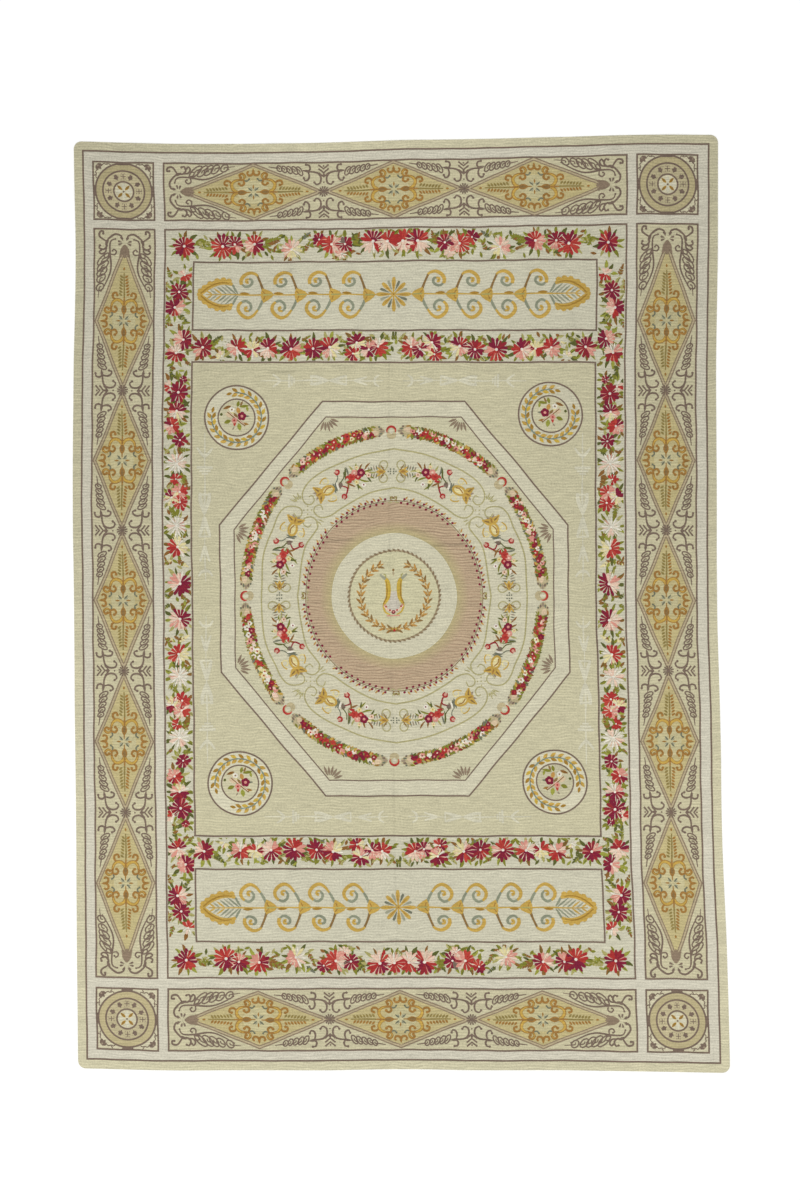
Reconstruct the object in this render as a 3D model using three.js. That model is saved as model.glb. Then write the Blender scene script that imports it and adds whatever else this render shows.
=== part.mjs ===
// A flat-woven tapestry rug, lying on a floor, in millimetres, +Z up.
// The rug is one cloth with its face up. Its long sides run along Y, and the origin is in the middle of its
// outline, on the floor. The outline leans and bows as hand-woven cloth does. The creases that it was folded
// on still stand up a little, and the cloth arches over the floor along them and where its rim cockles.
import * as THREE from "three";

// Driving sizes
const WIDTH = 2000;
const LENGTH = 2900;
const THICKNESS = 3;
const CORNER_RADIUS = 24;
const HALF_WIDTH = WIDTH / 2;
const HALF_LENGTH = LENGTH / 2;

// How far each side strays from a true rectangle, at even steps along the side. Positive is to +X or +Y.
// The long sides are read from the top end to the bottom end, the short ones from the left to the right.
const STRAY = {
  left: [0, 6, 0, -3, 1, 4, 8, 10, 14],
  right: [3, 2, -3, -1, 0, 10, 16, 31, 40],
  top: [-8, -15, -16, -13, -5, -1, 5, 12, 12],
  bottom: [10, 4, 4, 4, 7, 4, 4, 0, -4],
};

// The lean of a short end dies out inside the rug, between these distances from the middle.
const END_LEAN = { from: 750, to: 1150 };

// Creases that are left from storage, each a straight soft ridge between two points. It is as high as
// stated in its middle and runs out to nothing at its ends, and its flanks are as wide as stated.
const CREASES = [
  { runs: "across", fromX: -1100, fromY: 12, toX: 1100, toY: -4, high: 1.1, flank: 34 },
  { runs: "across", fromX: -1080, fromY: 726, toX: 1080, toY: 736, high: 0.9, flank: 34 },
  { runs: "across", fromX: -1080, fromY: -742, toX: 1080, toY: -736, high: 0.6, flank: 34 },
  { runs: "across", fromX: -360, fromY: 180, toX: -60, toY: 206, high: 1.7, flank: 36 },
  { runs: "across", fromX: 40, fromY: 206, toX: 360, toY: 180, high: 1.7, flank: 36 },
  { runs: "along", fromX: -22, fromY: 1560, toX: -14, toY: -1560, high: 1.0, flank: 30 },
  { runs: "slanting", fromX: -470, fromY: 800, toX: -230, toY: 1200, high: 1.6, flank: 60 },
];

// Cockles along the rim: the edge lifts in soft waves that die out towards the middle.
const COCKLE = { high: 1.6, reach: 150, waveAcross: 410, waveAlong: 530 };

// The grid that the cloth is cut into: even steps, with closer lines over the creases and at the corners.
const STEPS_ACROSS = 20;
const STEPS_ALONG = 28;
const CREASE_LINES = [-1, -0.5, 0, 0.5, 1];
const CORNER_LINES = [1, 0.5, 0];

function smooth(from, to, value) {
  return THREE.MathUtils.smoothstep(value, from, to);
}

// The value at a share from 0 to 1 of the way along evenly spaced numbers, on a smooth curve through them.
function along(list, share) {
  const place = THREE.MathUtils.clamp(share, 0, 1) * (list.length - 1);
  const cell = Math.min(Math.floor(place), list.length - 2);
  const t = place - cell;
  const before = list[Math.max(cell - 1, 0)];
  const after = list[Math.min(cell + 2, list.length - 1)];
  const slopeIn = (list[cell + 1] - before) / 2;
  const slopeOut = (after - list[cell]) / 2;
  const tt = t * t;
  const ttt = tt * t;
  return (2 * ttt - 3 * tt + 1) * list[cell] + (ttt - 2 * tt + t) * slopeIn
    + (3 * tt - 2 * ttt) * list[cell + 1] + (ttt - tt) * slopeOut;
}

// A point of the true rectangle once the corners are rounded.
function rounded(x, y) {
  const a = Math.max(0, (Math.abs(x) - HALF_WIDTH) / CORNER_RADIUS + 1);
  const b = Math.max(0, (Math.abs(y) - HALF_LENGTH) / CORNER_RADIUS + 1);
  const drawnInX = CORNER_RADIUS * a * (1 - Math.sqrt(1 - b * b / 2));
  const drawnInY = CORNER_RADIUS * b * (1 - Math.sqrt(1 - a * a / 2));
  return [x - Math.sign(x) * drawnInX, y - Math.sign(y) * drawnInY];
}

// Where a point of the true rectangle lies once the sides stray.
function strayed(x, y) {
  const across = (x + HALF_WIDTH) / WIDTH;
  const down = (HALF_LENGTH - y) / LENGTH;
  const left = along(STRAY.left, down);
  const right = along(STRAY.right, down);
  const topLean = along(STRAY.top, across) * smooth(END_LEAN.from, END_LEAN.to, y);
  const bottomLean = along(STRAY.bottom, across) * smooth(END_LEAN.from, END_LEAN.to, -y);
  return [x + left + (right - left) * across, y + topLean + bottomLean];
}

// How high one crease lifts the cloth at a point.
function creaseLift(crease, x, y) {
  const dx = crease.toX - crease.fromX;
  const dy = crease.toY - crease.fromY;
  const length = Math.hypot(dx, dy);
  const share = ((x - crease.fromX) * dx + (y - crease.fromY) * dy) / (length * length);
  const aside = Math.abs((x - crease.fromX) * dy - (y - crease.fromY) * dx) / length;
  if (share <= 0 || share >= 1 || aside >= crease.flank) return 0;
  const ends = smooth(0, 0.2, share) * smooth(0, 0.2, 1 - share);
  return crease.high * ends * (0.5 + 0.5 * Math.cos(Math.PI * aside / crease.flank));
}

// How high the rim's cockles lift the cloth at a point.
function cockleLift(x, y) {
  const nearSide = smooth(HALF_WIDTH - COCKLE.reach, HALF_WIDTH, Math.abs(x));
  const nearEnd = smooth(HALF_LENGTH - COCKLE.reach, HALF_LENGTH, Math.abs(y));
  const sideWave = Math.max(0, Math.sin(2 * Math.PI * y / COCKLE.waveAlong + Math.sign(x)));
  const endWave = Math.max(0, Math.sin(2 * Math.PI * x / COCKLE.waveAcross + Math.sign(y)));
  return COCKLE.high * Math.max(nearSide * sideWave * sideWave, nearEnd * endWave * endWave);
}

// How far the underside stands off the floor at a point.
function lift(x, y) {
  return Math.max(cockleLift(x, y), ...CREASES.map((crease) => creaseLift(crease, x, y)));
}

// Grid lines from -half to half: even steps, but for the closer lines over creases and at the corners.
function gridLines(half, steps, runs, from, to) {
  const step = 2 * half / steps;
  const creases = CREASES.filter((crease) => crease.runs === runs);
  const overCreases = creases.flatMap((crease) => {
    const crown = (crease[from] + crease[to]) / 2;
    return CREASE_LINES.map((share) => crown + share * crease.flank);
  });
  const atCorners = CORNER_LINES.flatMap((share) => {
    const line = half - share * CORNER_RADIUS;
    return [-line, line];
  });
  const close = [...new Set([...overCreases, ...atCorners])];
  const even = Array.from({ length: steps - 1 }, (_, i) => -half + (i + 1) * step);
  const spaced = even.filter((line) => close.every((other) => Math.abs(other - line) > step / 5));
  return [...spaced, ...close].sort((a, b) => a - b);
}

// The cloth: a closed sheet of one thickness, its underside on the floor but under creases and cockles.
function clothGeometry() {
  const xs = gridLines(HALF_WIDTH, STEPS_ACROSS, "along", "fromX", "toX");
  const ys = gridLines(HALF_LENGTH, STEPS_ALONG, "across", "fromY", "toY");
  const columns = xs.length;
  const rows = ys.length;
  const points = [];
  for (const side of [0, THICKNESS]) {
    for (const y of ys) {
      for (const x of xs) {
        points.push(...strayed(...rounded(x, y)), side + lift(x, y));
      }
    }
  }
  const under = (i, j) => j * columns + i;
  const over = (i, j) => rows * columns + j * columns + i;
  const faces = [];
  const quad = (a, b, c, d) => faces.push(a, b, c, a, c, d);
  for (let j = 0; j < rows - 1; j++) {
    for (let i = 0; i < columns - 1; i++) {
      quad(over(i, j), over(i + 1, j), over(i + 1, j + 1), over(i, j + 1));
      quad(under(i, j), under(i, j + 1), under(i + 1, j + 1), under(i + 1, j));
    }
  }
  const right = columns - 1;
  const top = rows - 1;
  for (let i = 0; i < right; i++) {
    quad(under(i, 0), under(i + 1, 0), over(i + 1, 0), over(i, 0));
    quad(under(i + 1, top), under(i, top), over(i, top), over(i + 1, top));
  }
  for (let j = 0; j < top; j++) {
    quad(under(0, j + 1), under(0, j), over(0, j), over(0, j + 1));
    quad(under(right, j), under(right, j + 1), over(right, j + 1), over(right, j));
  }
  const geometry = new THREE.BufferGeometry();
  geometry.setAttribute("position", new THREE.Float32BufferAttribute(points, 3));
  geometry.setIndex(faces);
  geometry.computeBoundingBox();
  const middle = geometry.boundingBox.getCenter(new THREE.Vector3());
  geometry.translate(-middle.x, -middle.y, 0);
  geometry.computeVertexNormals();
  return geometry;
}

const wool = new THREE.MeshStandardMaterial({ color: 0xc9c2a6, roughness: 0.95, metalness: 0 });

function makeRug() {
  const rug = new THREE.Mesh(clothGeometry(), wool);
  rug.name = "rug";
  return rug;
}

const part = new THREE.Group();
part.add(makeRug());

export default part;
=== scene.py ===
# %% [markdown]
# A flat-woven tapestry rug, seen from straight above. The real rug is one wool cloth, about 3 mm thick.
# Nothing is printed or sewn on it: each coloured shape is woven in with its own yarn. So this lesson makes
# one thin cloth for the grounds, and lays every coloured shape into its face as a very thin piece of yarn.
# All shapes are drawn on a flat chart in millimetres, as a weaver's cartoon is, and one function then
# carries the chart to the cloth as it really lies, with its leaning sides and its soft creases.

# %% Start from the frame
import cmath
import math
import random

import bpy
import numpy as np
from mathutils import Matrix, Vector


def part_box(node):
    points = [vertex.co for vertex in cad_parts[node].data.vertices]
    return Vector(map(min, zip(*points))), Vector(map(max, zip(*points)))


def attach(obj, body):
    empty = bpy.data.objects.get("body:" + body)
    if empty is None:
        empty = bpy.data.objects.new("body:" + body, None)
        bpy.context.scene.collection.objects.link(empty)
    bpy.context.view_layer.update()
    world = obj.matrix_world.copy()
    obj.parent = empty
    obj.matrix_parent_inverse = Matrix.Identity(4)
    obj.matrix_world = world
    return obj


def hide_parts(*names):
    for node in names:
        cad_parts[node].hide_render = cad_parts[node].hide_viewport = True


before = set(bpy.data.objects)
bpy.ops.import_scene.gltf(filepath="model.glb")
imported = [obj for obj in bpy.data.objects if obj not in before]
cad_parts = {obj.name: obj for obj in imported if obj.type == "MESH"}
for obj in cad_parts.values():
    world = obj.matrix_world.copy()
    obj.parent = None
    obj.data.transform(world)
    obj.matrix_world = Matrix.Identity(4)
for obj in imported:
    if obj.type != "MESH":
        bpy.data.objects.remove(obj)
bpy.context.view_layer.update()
rug_low, rug_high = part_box("rug")
print("solid", [round(c, 4) for c in rug_low], [round(c, 4) for c in rug_high])

# %% [markdown]
# The chart is a true rectangle with its origin in its middle, x to the right and y to the top of the design.
# The woven rug strays from it: its sides lean and bow by up to 40 mm, and old storage creases stand up
# as soft ridges. The sizes are those of the solid, so the outline and the ridges are the solid's own. Only
# the lean of the two ends runs out further in, because the lines inside the rug show it to.

# %% Sizes of the cloth, in millimetres
MM = 0.001
HALF_WIDTH = 1000
HALF_LENGTH = 1450
THICKNESS = 3
CORNER_RADIUS = 24
STRAY = {
    "left": [0, 6, 0, -3, 1, 4, 8, 10, 14],
    "right": [3, 2, -3, -1, 0, 10, 16, 31, 40],
    "top": [-8, -15, -16, -13, -5, -1, 5, 12, 12],
    "bottom": [10, 4, 4, 4, 7, 4, 4, 0, -4],
}
LEAN_FROM = 780
LEAN_TO = 1430
# Creases: from x and y, to x and y, height of the ridge, width of a flank.
CREASES = [
    (-1100, 12, 1100, -4, 1.1, 34),
    (-1080, 726, 1080, 736, 0.9, 34),
    (-1080, -742, 1080, -736, 0.6, 34),
    (-360, 180, -60, 206, 1.7, 36),
    (40, 206, 360, 180, 1.7, 36),
    (-22, 1560, -14, -1560, 1.0, 30),
    (-470, 800, -230, 1200, 1.6, 60),
]
COCKLE_HIGH = 1.6
COCKLE_REACH = 150
COCKLE_ACROSS = 410
COCKLE_ALONG = 530


# %% From the chart to the cloth
def smooth(low, high, value):
    t = np.clip((value - low) / (high - low), 0, 1)
    return t * t * (3 - 2 * t)


def along(values, share):
    """The value at a share of the way along evenly spaced numbers, on a smooth curve through them."""
    values = np.asarray(values, float)
    place = np.clip(share, 0, 1) * (len(values) - 1)
    cell = np.minimum(place.astype(int), len(values) - 2)
    t = place - cell
    here = values[cell]
    there = values[cell + 1]
    slope_in = (there - values[np.maximum(cell - 1, 0)]) / 2
    slope_out = (values[np.minimum(cell + 2, len(values) - 1)] - here) / 2
    rise = t * t * (3 - 2 * t)
    return here + (there - here) * rise + slope_in * t * (1 - t) ** 2 - slope_out * t * t * (1 - t)


def rounded(x, y):
    """The chart's rectangle with its four corners rounded."""
    a = np.maximum(0, (np.abs(x) - HALF_WIDTH) / CORNER_RADIUS + 1)
    b = np.maximum(0, (np.abs(y) - HALF_LENGTH) / CORNER_RADIUS + 1)
    drawn_x = CORNER_RADIUS * a * (1 - np.sqrt(1 - b * b / 2))
    drawn_y = CORNER_RADIUS * b * (1 - np.sqrt(1 - a * a / 2))
    return x - np.sign(x) * drawn_x, y - np.sign(y) * drawn_y


def wobble(x, y):
    """The hand's unsteadiness: a millimetre or so of sway, smooth from place to place."""
    dx = 0.8 * np.sin(y / 61 + 1.3 * np.sin(x / 143)) + 0.6 * np.sin(y / 23 + x / 310)
    dy = 0.8 * np.sin(x / 57 + 1.1 * np.sin(y / 171)) + 0.6 * np.sin(x / 19 + y / 260)
    inside = smooth(0, 60, HALF_WIDTH - np.abs(x)) * smooth(0, 60, HALF_LENGTH - np.abs(y))
    return dx * inside, dy * inside


def strayed(x, y):
    """Where a point of the chart lies on the real cloth, before the cloth is centred."""
    x, y = rounded(x, y)
    dx, dy = wobble(x, y)
    across = (x + HALF_WIDTH) / (2 * HALF_WIDTH)
    down = (HALF_LENGTH - y) / (2 * HALF_LENGTH)
    left = along(STRAY["left"], down)
    right = along(STRAY["right"], down)
    lean = along(STRAY["top"], across) * smooth(LEAN_FROM, LEAN_TO, y)
    lean = lean + along(STRAY["bottom"], across) * smooth(LEAN_FROM, LEAN_TO, -y)
    return x + left + (right - left) * across + dx, y + lean + dy


def lift(x, y):
    """How far the underside stands off the floor."""
    near_side = smooth(HALF_WIDTH - COCKLE_REACH, HALF_WIDTH, np.abs(x))
    near_end = smooth(HALF_LENGTH - COCKLE_REACH, HALF_LENGTH, np.abs(y))
    side_wave = np.maximum(0, np.sin(math.tau * y / COCKLE_ALONG + np.sign(x)))
    end_wave = np.maximum(0, np.sin(math.tau * x / COCKLE_ACROSS + np.sign(y)))
    high = COCKLE_HIGH * np.maximum(near_side * side_wave**2, near_end * end_wave**2)
    for from_x, from_y, to_x, to_y, crown, flank in CREASES:
        dx = to_x - from_x
        dy = to_y - from_y
        length = math.hypot(dx, dy)
        share = ((x - from_x) * dx + (y - from_y) * dy) / length**2
        aside = np.abs((x - from_x) * dy - (y - from_y) * dx) / length
        ends = smooth(0, 0.2, share) * smooth(0, 0.2, 1 - share)
        ridge = crown * ends * (0.5 + 0.5 * np.cos(np.pi * np.minimum(aside / flank, 1)))
        high = np.maximum(high, ridge)
    return high


def edge_places(half_x, half_y, count=500):
    """Places all along the four edges of the chart."""
    run = np.linspace(-1, 1, count)
    full = np.ones(count)
    return (
        np.concatenate([run, run, full, -full]) * half_x,
        np.concatenate([full, -full, run, run]) * half_y,
    )


rim = np.array(strayed(*edge_places(HALF_WIDTH, HALF_LENGTH)))
MIDDLE_X, MIDDLE_Y = (rim.min(axis=1) + rim.max(axis=1)) / 2
print("outline", np.round(np.ptp(rim, axis=1), 1), "centred by", round(MIDDLE_X, 1), round(MIDDLE_Y, 1))


def laid(x, y, above):
    """Chart places in metres on the lying cloth, each so far above its underside."""
    sx, sy = strayed(x, y)
    return np.column_stack([sx - MIDDLE_X, sy - MIDDLE_Y, lift(x, y) + above]) * MM


# %% [markdown]
# Every yarn gets its dye by name. The colours were chosen from the rug: quiet straw, sand and cream
# grounds, a warm taupe for all outlines, old gold and slate blue for the scrolls, and the reds and greens
# of the flowers. They are written as screen colours, because those are easy to compare with a picture, and
# turned into the linear light that shaders work in.

# %% The dyes
DYES = {
    "khaki": (193, 187, 156),
    "gutter": (202, 197, 178),
    "straw": (194, 187, 154),
    "olive straw": (186, 173, 125),
    "tan": (176, 162, 130),
    "ring tan": (179, 167, 127),
    "ring straw": (184, 173, 137),
    "square straw": (201, 194, 164),
    "cream": (198, 194, 171),
    "grey cream": (198, 194, 171),
    "field": (194, 188, 156),
    "octagon cream": (202, 197, 171),
    "inner field": (196, 191, 160),
    "garland cream": (200, 195, 169),
    "heart cream": (198, 193, 158),
    "disc brown": (184, 162, 133),
    # Painted shade for the furrows of the brown disc.
    "painted furrow shade": (156, 131, 107),
    "halo": (177, 165, 121),
    "pale line": (136, 118, 98),
    "scroll slate": (134, 138, 116),
    "taupe": (116, 99, 86),
    "pale taupe": (148, 132, 112),
    "gold": (187, 154, 74),
    "deep gold": (156, 120, 48),
    "ring gold": (182, 138, 72),
    "lyre gold": (192, 162, 66),
    "ochre": (152, 112, 56),
    "bronze": (132, 104, 62),
    "slate": (110, 112, 94),
    "pale slate": (150, 150, 128),
    "blue slate": (124, 138, 124),
    "crimson": (122, 28, 52),
    "dark red": (140, 38, 46),
    "red": (162, 46, 44),
    "coral": (176, 62, 52),
    "pink": (206, 142, 126),
    "blush": (220, 190, 168),
    "white": (222, 216, 200),
    "lemon": (214, 202, 150),
    "leaf": (124, 124, 44),
    "bright leaf": (146, 148, 62),
    "dark leaf": (88, 92, 42),
    "pale leaf": (162, 156, 96),
    "brown leaf": (132, 92, 44),
    "olive": (166, 159, 114),
    "ghost": (203, 199, 175),
    "cuff tan": (180, 167, 130),
    "cuff pink": (204, 182, 150),
    "mauve": (196, 189, 172),
    "lozenge cream": (191, 182, 140),
    # Painted light: the lighter khaki of most of the outer band.
    "lit khaki": (200, 194, 163),
    "fern brown": (138, 122, 70),
    "rope brown": (132, 114, 88),
    "rope tan": (158, 142, 112),
}


def dye(name):
    """A dye as linear light."""
    def linear(c):
        return c / 12.92 if c <= 0.04045 else ((c + 0.055) / 1.055) ** 2.4

    return (*[linear(c / 255) for c in DYES[name]], 1.0)


print(len(DYES), "dyes")

# %% [markdown]
# A material is a graph of nodes. Wiring them by hand hides the idea, so this small helper lets a pattern be
# written as sums and comparisons. It adds a node, fills its inputs with numbers or joins them to other
# nodes, and gives back the output.


# %% A helper that wires nodes
class Wiring:
    def __init__(self, tree):
        self.tree = tree

    def add(self, kind, inputs=(), **settings):
        node = self.tree.nodes.new(kind)
        for name, value in settings.items():
            setattr(node, name, value)
        for key, value in dict(inputs).items():
            self.feed(node.inputs[key], value)
        return node

    def feed(self, socket, value):
        if isinstance(value, bpy.types.NodeSocket):
            self.tree.links.new(value, socket)
        else:
            socket.default_value = value

    def sum(self, operation, *values):
        node = self.add("ShaderNodeMath", operation=operation)
        for socket, value in zip(node.inputs, values):
            self.feed(socket, value)
        return node.outputs[0]

    def ramp(self, value, low, high, at_low=0.0, at_high=1.0, kind="SMOOTHSTEP"):
        """A number that changes while the value runs from low to high, and stays as it is past them."""
        runs = {"Value": value, "From Min": low, "From Max": high, "To Min": at_low, "To Max": at_high}
        return self.add("ShaderNodeMapRange", runs, interpolation_type=kind).outputs[0]

    def place(self, x, y):
        return self.add("ShaderNodeCombineXYZ", {"X": x, "Y": y}).outputs[0]

    def noise(self, x, y, scale, detail=2.0):
        spot = {"Vector": self.place(x, y), "Scale": scale, "Detail": detail}
        return self.add("ShaderNodeTexNoise", spot, noise_dimensions="2D").outputs[0]

    def mix(self, share, first, second, blend="MIX"):
        node = self.add("ShaderNodeMix", data_type="RGBA", blend_type=blend)
        self.feed(node.inputs[0], share)
        self.feed(node.inputs[6], first)
        self.feed(node.inputs[7], second)
        return node.outputs[2]


# %% [markdown]
# The weave itself: the weft runs across the rug and packs down over hidden warps. That leaves fine ribs,
# and bands a few millimetres high where one batch of yarn is a little lighter than the next. On the real
# rug both show more than any fibre does, so the pattern is built from three stretched noises and a rib. It
# reads the chart's map in metres, so it follows the cloth, and it runs on unbroken from one yarn to the
# next. It is a node group, because every yarn and ground uses it.

# %% The weave, shared by all yarns
RIB_PITCH = 0.0031
RIB_HEIGHT = 0.25
STREAK_HEIGHT = 1.4
BUMP_DEPTH = 0.0005
BAND_PITCH = 0.0086
BANDS = 0.07
# Columns: noise scale, how much of its x is kept, detail, strength.
STREAKS = (190.0, 0.12, 3.0, 0.45)
BATCHES = (22.0, 0.12, 2.0, 0.07)
MOTTLE = (190.0, 1.0, 2.0, 0.42)
FLECKS = (420.0, 0.5, 2.0, 0.3)
SWAY_SCALE = 9.0
YARN_SWAY = 0.02
FOLD_SHADE_SWAY = 0.012

# Painted shade of folds, as dark lines: from x and y, to x and y, darkness, half width. All in millimetres.
FOLD_SHADE_LINES = (
    (-235, 194, -120, 207, 0.24, 9),
    (100, 184, 232, 196, 0.24, 9),
    (20, 238, 108, 222, 0.16, 8),
    (-400, 722, -300, 727, 0.16, 8),
    (-205, 741, -120, 745, 0.14, 8),
    (-440, 984, -305, 1063, 0.14, 7),
    (-20, 1450, -14, -1450, 0.065, 7),
    (-1000, 12, 1000, -4, 0.065, 8),
    (-1000, 727, 1000, 734, 0.055, 8),
    (-1000, -742, 1000, -737, 0.05, 8),
)


def painted_fold_shade(wires, x, y):
    """How dark the painted fold shade makes a place: each is a soft line that fades out at its ends."""
    total = 0.0
    for from_x, from_y, to_x, to_y, darkness, half_width in FOLD_SHADE_LINES:
        length = math.hypot(to_x - from_x, to_y - from_y) * MM
        way_x = (to_x - from_x) * MM / length
        way_y = (to_y - from_y) * MM / length
        from_middle_x = wires.sum("SUBTRACT", x, (from_x + to_x) / 2 * MM)
        from_middle_y = wires.sum("SUBTRACT", y, (from_y + to_y) / 2 * MM)
        run = wires.sum("MULTIPLY_ADD", from_middle_x, way_x, wires.sum("MULTIPLY", from_middle_y, way_y))
        aside = wires.sum("MULTIPLY_ADD", from_middle_x, -way_y, wires.sum("MULTIPLY", from_middle_y, way_x))
        ends = wires.ramp(wires.sum("ABSOLUTE", run), length * 0.3, length / 2, darkness, 0.0)
        flank = wires.ramp(wires.sum("ABSOLUTE", aside), 0.0, half_width * MM, 1.0, 0.0)
        total = wires.sum("ADD", total, wires.sum("MULTIPLY", ends, flank))
    return total


# Painted light and shade: towards its sides the rug is painted darker in the upper half and lighter in the
# lower half. In metres, but for the two painted amounts.
SIDE_FROM = 0.15
SIDE_TO = 0.95
SHADE_REACH = 0.8
TOP_PAINTED_SHADE = -0.1
BOTTOM_PAINTED_LIGHT = 0.05


def painted_side_shading(wires, x, y):
    """How much painted light or shade a place gets for its distance from the middle."""
    outward = wires.ramp(wires.sum("ABSOLUTE", x), SIDE_FROM, SIDE_TO)
    upward = wires.ramp(y, -SHADE_REACH, SHADE_REACH, BOTTOM_PAINTED_LIGHT, TOP_PAINTED_SHADE)
    return wires.sum("MULTIPLY", outward, upward)


def weave_group():
    tree = bpy.data.node_groups.new("weave", "ShaderNodeTree")
    tree.interface.new_socket("Dye", in_out="INPUT", socket_type="NodeSocketColor")
    tree.interface.new_socket("Tone", in_out="INPUT", socket_type="NodeSocketFloat")
    tree.interface.new_socket("Colour", in_out="OUTPUT", socket_type="NodeSocketColor")
    tree.interface.new_socket("Normal", in_out="OUTPUT", socket_type="NodeSocketVector")
    wires = Wiring(tree)
    given = wires.add("NodeGroupInput")
    chart = wires.add("ShaderNodeUVMap", uv_map="weave").outputs[0]
    split = wires.add("ShaderNodeSeparateXYZ", {"Vector": chart})
    x, y = split.outputs[0], split.outputs[1]
    sway = wires.noise(x, y, SWAY_SCALE)
    swayed = wires.sum("MULTIPLY_ADD", sway, YARN_SWAY, y)
    fold_shade_y = wires.sum("MULTIPLY_ADD", sway, FOLD_SHADE_SWAY, wires.sum("SUBTRACT", y, FOLD_SHADE_SWAY / 2))
    tone = wires.sum("ADD", given.outputs["Tone"], 1.0)
    patterns = []
    for (scale, kept, detail, strength), across in (
        (STREAKS, swayed), (BATCHES, swayed), (MOTTLE, y), (FLECKS, y),
    ):
        pattern = wires.noise(wires.sum("MULTIPLY", x, kept), across, scale, detail)
        patterns.append(pattern)
        tone = wires.sum("ADD", tone, wires.sum("MULTIPLY_ADD", pattern, strength, -strength / 2))
    streak, fleck = patterns[0], patterns[-1]
    band = wires.sum("SINE", wires.sum("MULTIPLY", swayed, math.tau / BAND_PITCH))
    tone = wires.sum("MULTIPLY_ADD", band, wires.sum("MULTIPLY", streak, 2 * BANDS), tone)
    # Painted shade: the folds darken the colour along soft lines.
    tone = wires.sum("SUBTRACT", tone, painted_fold_shade(wires, x, fold_shade_y))
    # Painted light and shade: darker towards the upper sides, lighter towards the lower sides.
    tone = wires.sum("ADD", tone, painted_side_shading(wires, x, y))
    shade = wires.add("ShaderNodeCombineColor", {"Red": tone, "Green": tone, "Blue": tone})
    coloured = wires.mix(1.0, given.outputs["Dye"], shade.outputs[0], "MULTIPLY")
    rib = wires.sum("SINE", wires.sum("MULTIPLY", swayed, math.tau / RIB_PITCH))
    height = wires.sum("MULTIPLY_ADD", rib, RIB_HEIGHT, fleck)
    height = wires.sum("MULTIPLY_ADD", streak, STREAK_HEIGHT, height)
    bump = wires.add("ShaderNodeBump", {"Strength": 0.5, "Distance": BUMP_DEPTH, "Height": height})
    out = wires.add("NodeGroupOutput")
    wires.feed(out.inputs["Colour"], coloured)
    wires.feed(out.inputs["Normal"], bump.outputs[0])
    return tree


WEAVE = weave_group()


def wool(name, colour):
    """A wool material. The colour is a dye's name, or a function that wires one from the chart."""
    material = bpy.data.materials.new(name)
    material.use_nodes = True
    wires = Wiring(material.node_tree)
    shader = material.node_tree.nodes["Principled BSDF"]
    shader.inputs["Roughness"].default_value = 0.92
    shader.inputs["Specular IOR Level"].default_value = 0.15
    shader.inputs["Sheen Weight"].default_value = 0.08
    shader.inputs["Sheen Roughness"].default_value = 0.6
    group = wires.add("ShaderNodeGroup", node_tree=WEAVE)
    given = dye(colour) if isinstance(colour, str) else colour(wires)
    wires.feed(group.inputs["Dye"], given)
    own_tone = wires.add("ShaderNodeAttribute", attribute_name="tone")
    wires.feed(group.inputs["Tone"], own_tone.outputs["Fac"])
    wires.feed(shader.inputs["Base Color"], group.outputs["Colour"])
    wires.feed(shader.inputs["Normal"], group.outputs["Normal"])
    return material


YARNS = {}


def yarn(name):
    """The material of one dyed yarn, made when it is first used."""
    if name not in YARNS:
        YARNS[name] = wool(name.replace(" ", "_") + "_wool", name)
    return YARNS[name]


# %% [markdown]
# The plan of the rug, read from the outside in: a plain outer band, a cream gutter, a frame of narrow
# panels with a square in each corner, a band of flowers, two scroll panels, and the field with its octagon.
# The two sides and the two ends aren't quite alike, so each line has its own place, in millimetres from
# the middle of the chart.

# %% The plan
def make_box(left, right, bottom, top):
    return {"left": left, "right": right, "bottom": bottom, "top": top}


LINE_WIDTH = 5.2
OUTER = make_box(-972, 971, -1420, 1421.5)
PANEL_OUT = make_box(-941, 937, -1388.5, 1388.5)
PANEL_IN = make_box(-753.5, 748.5, -1196, 1207)
FLOWER_OUT = make_box(-721.5, 716.5, -1161.5, 1177)
SCROLL_TOP = make_box(-632, 624.5, 855, 1072)
SCROLL_BOTTOM = make_box(-632, 624.5, -1048, -820.5)
FIELD = make_box(-632, 624.5, -717.5, 755)
MIDDLE = (-3.5, 20.0)
OCTAGON = {"half_width": 541, "half_height": 613, "slant_x": 732.6, "slant_y": 879.5}
OCTAGON_IN = {"half_width": 496, "half_height": 564.5, "slant_x": 671.3, "slant_y": 823.3}
RINGS = (-4, 29)
GARLAND = (462, 512)
DISC = (272, 292)
CREAM_RING = (193.5, 193.5)
ROPE_RADIUS = 139.5
# The disc's ribs, with painted shade in their furrows: pitch in metres and strength of the shade.
FURROW_PITCH = 0.0088
FURROW_SHADE_STRENGTH = 0.8
LOZENGE_PITCH = 437.5
LOZENGE_HALF_WIDTH = 90
LOZENGE_GAP = 8.5
END_PANEL_CENTRES = (-444, -8, 429)
SIDE_PANEL_CENTRES = (884, 450, 15, -424, -864)


def box_middle(box):
    return (box["left"] + box["right"]) / 2, (box["bottom"] + box["top"]) / 2


def box_halves(box):
    return (box["right"] - box["left"]) / 2, (box["top"] - box["bottom"]) / 2


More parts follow.
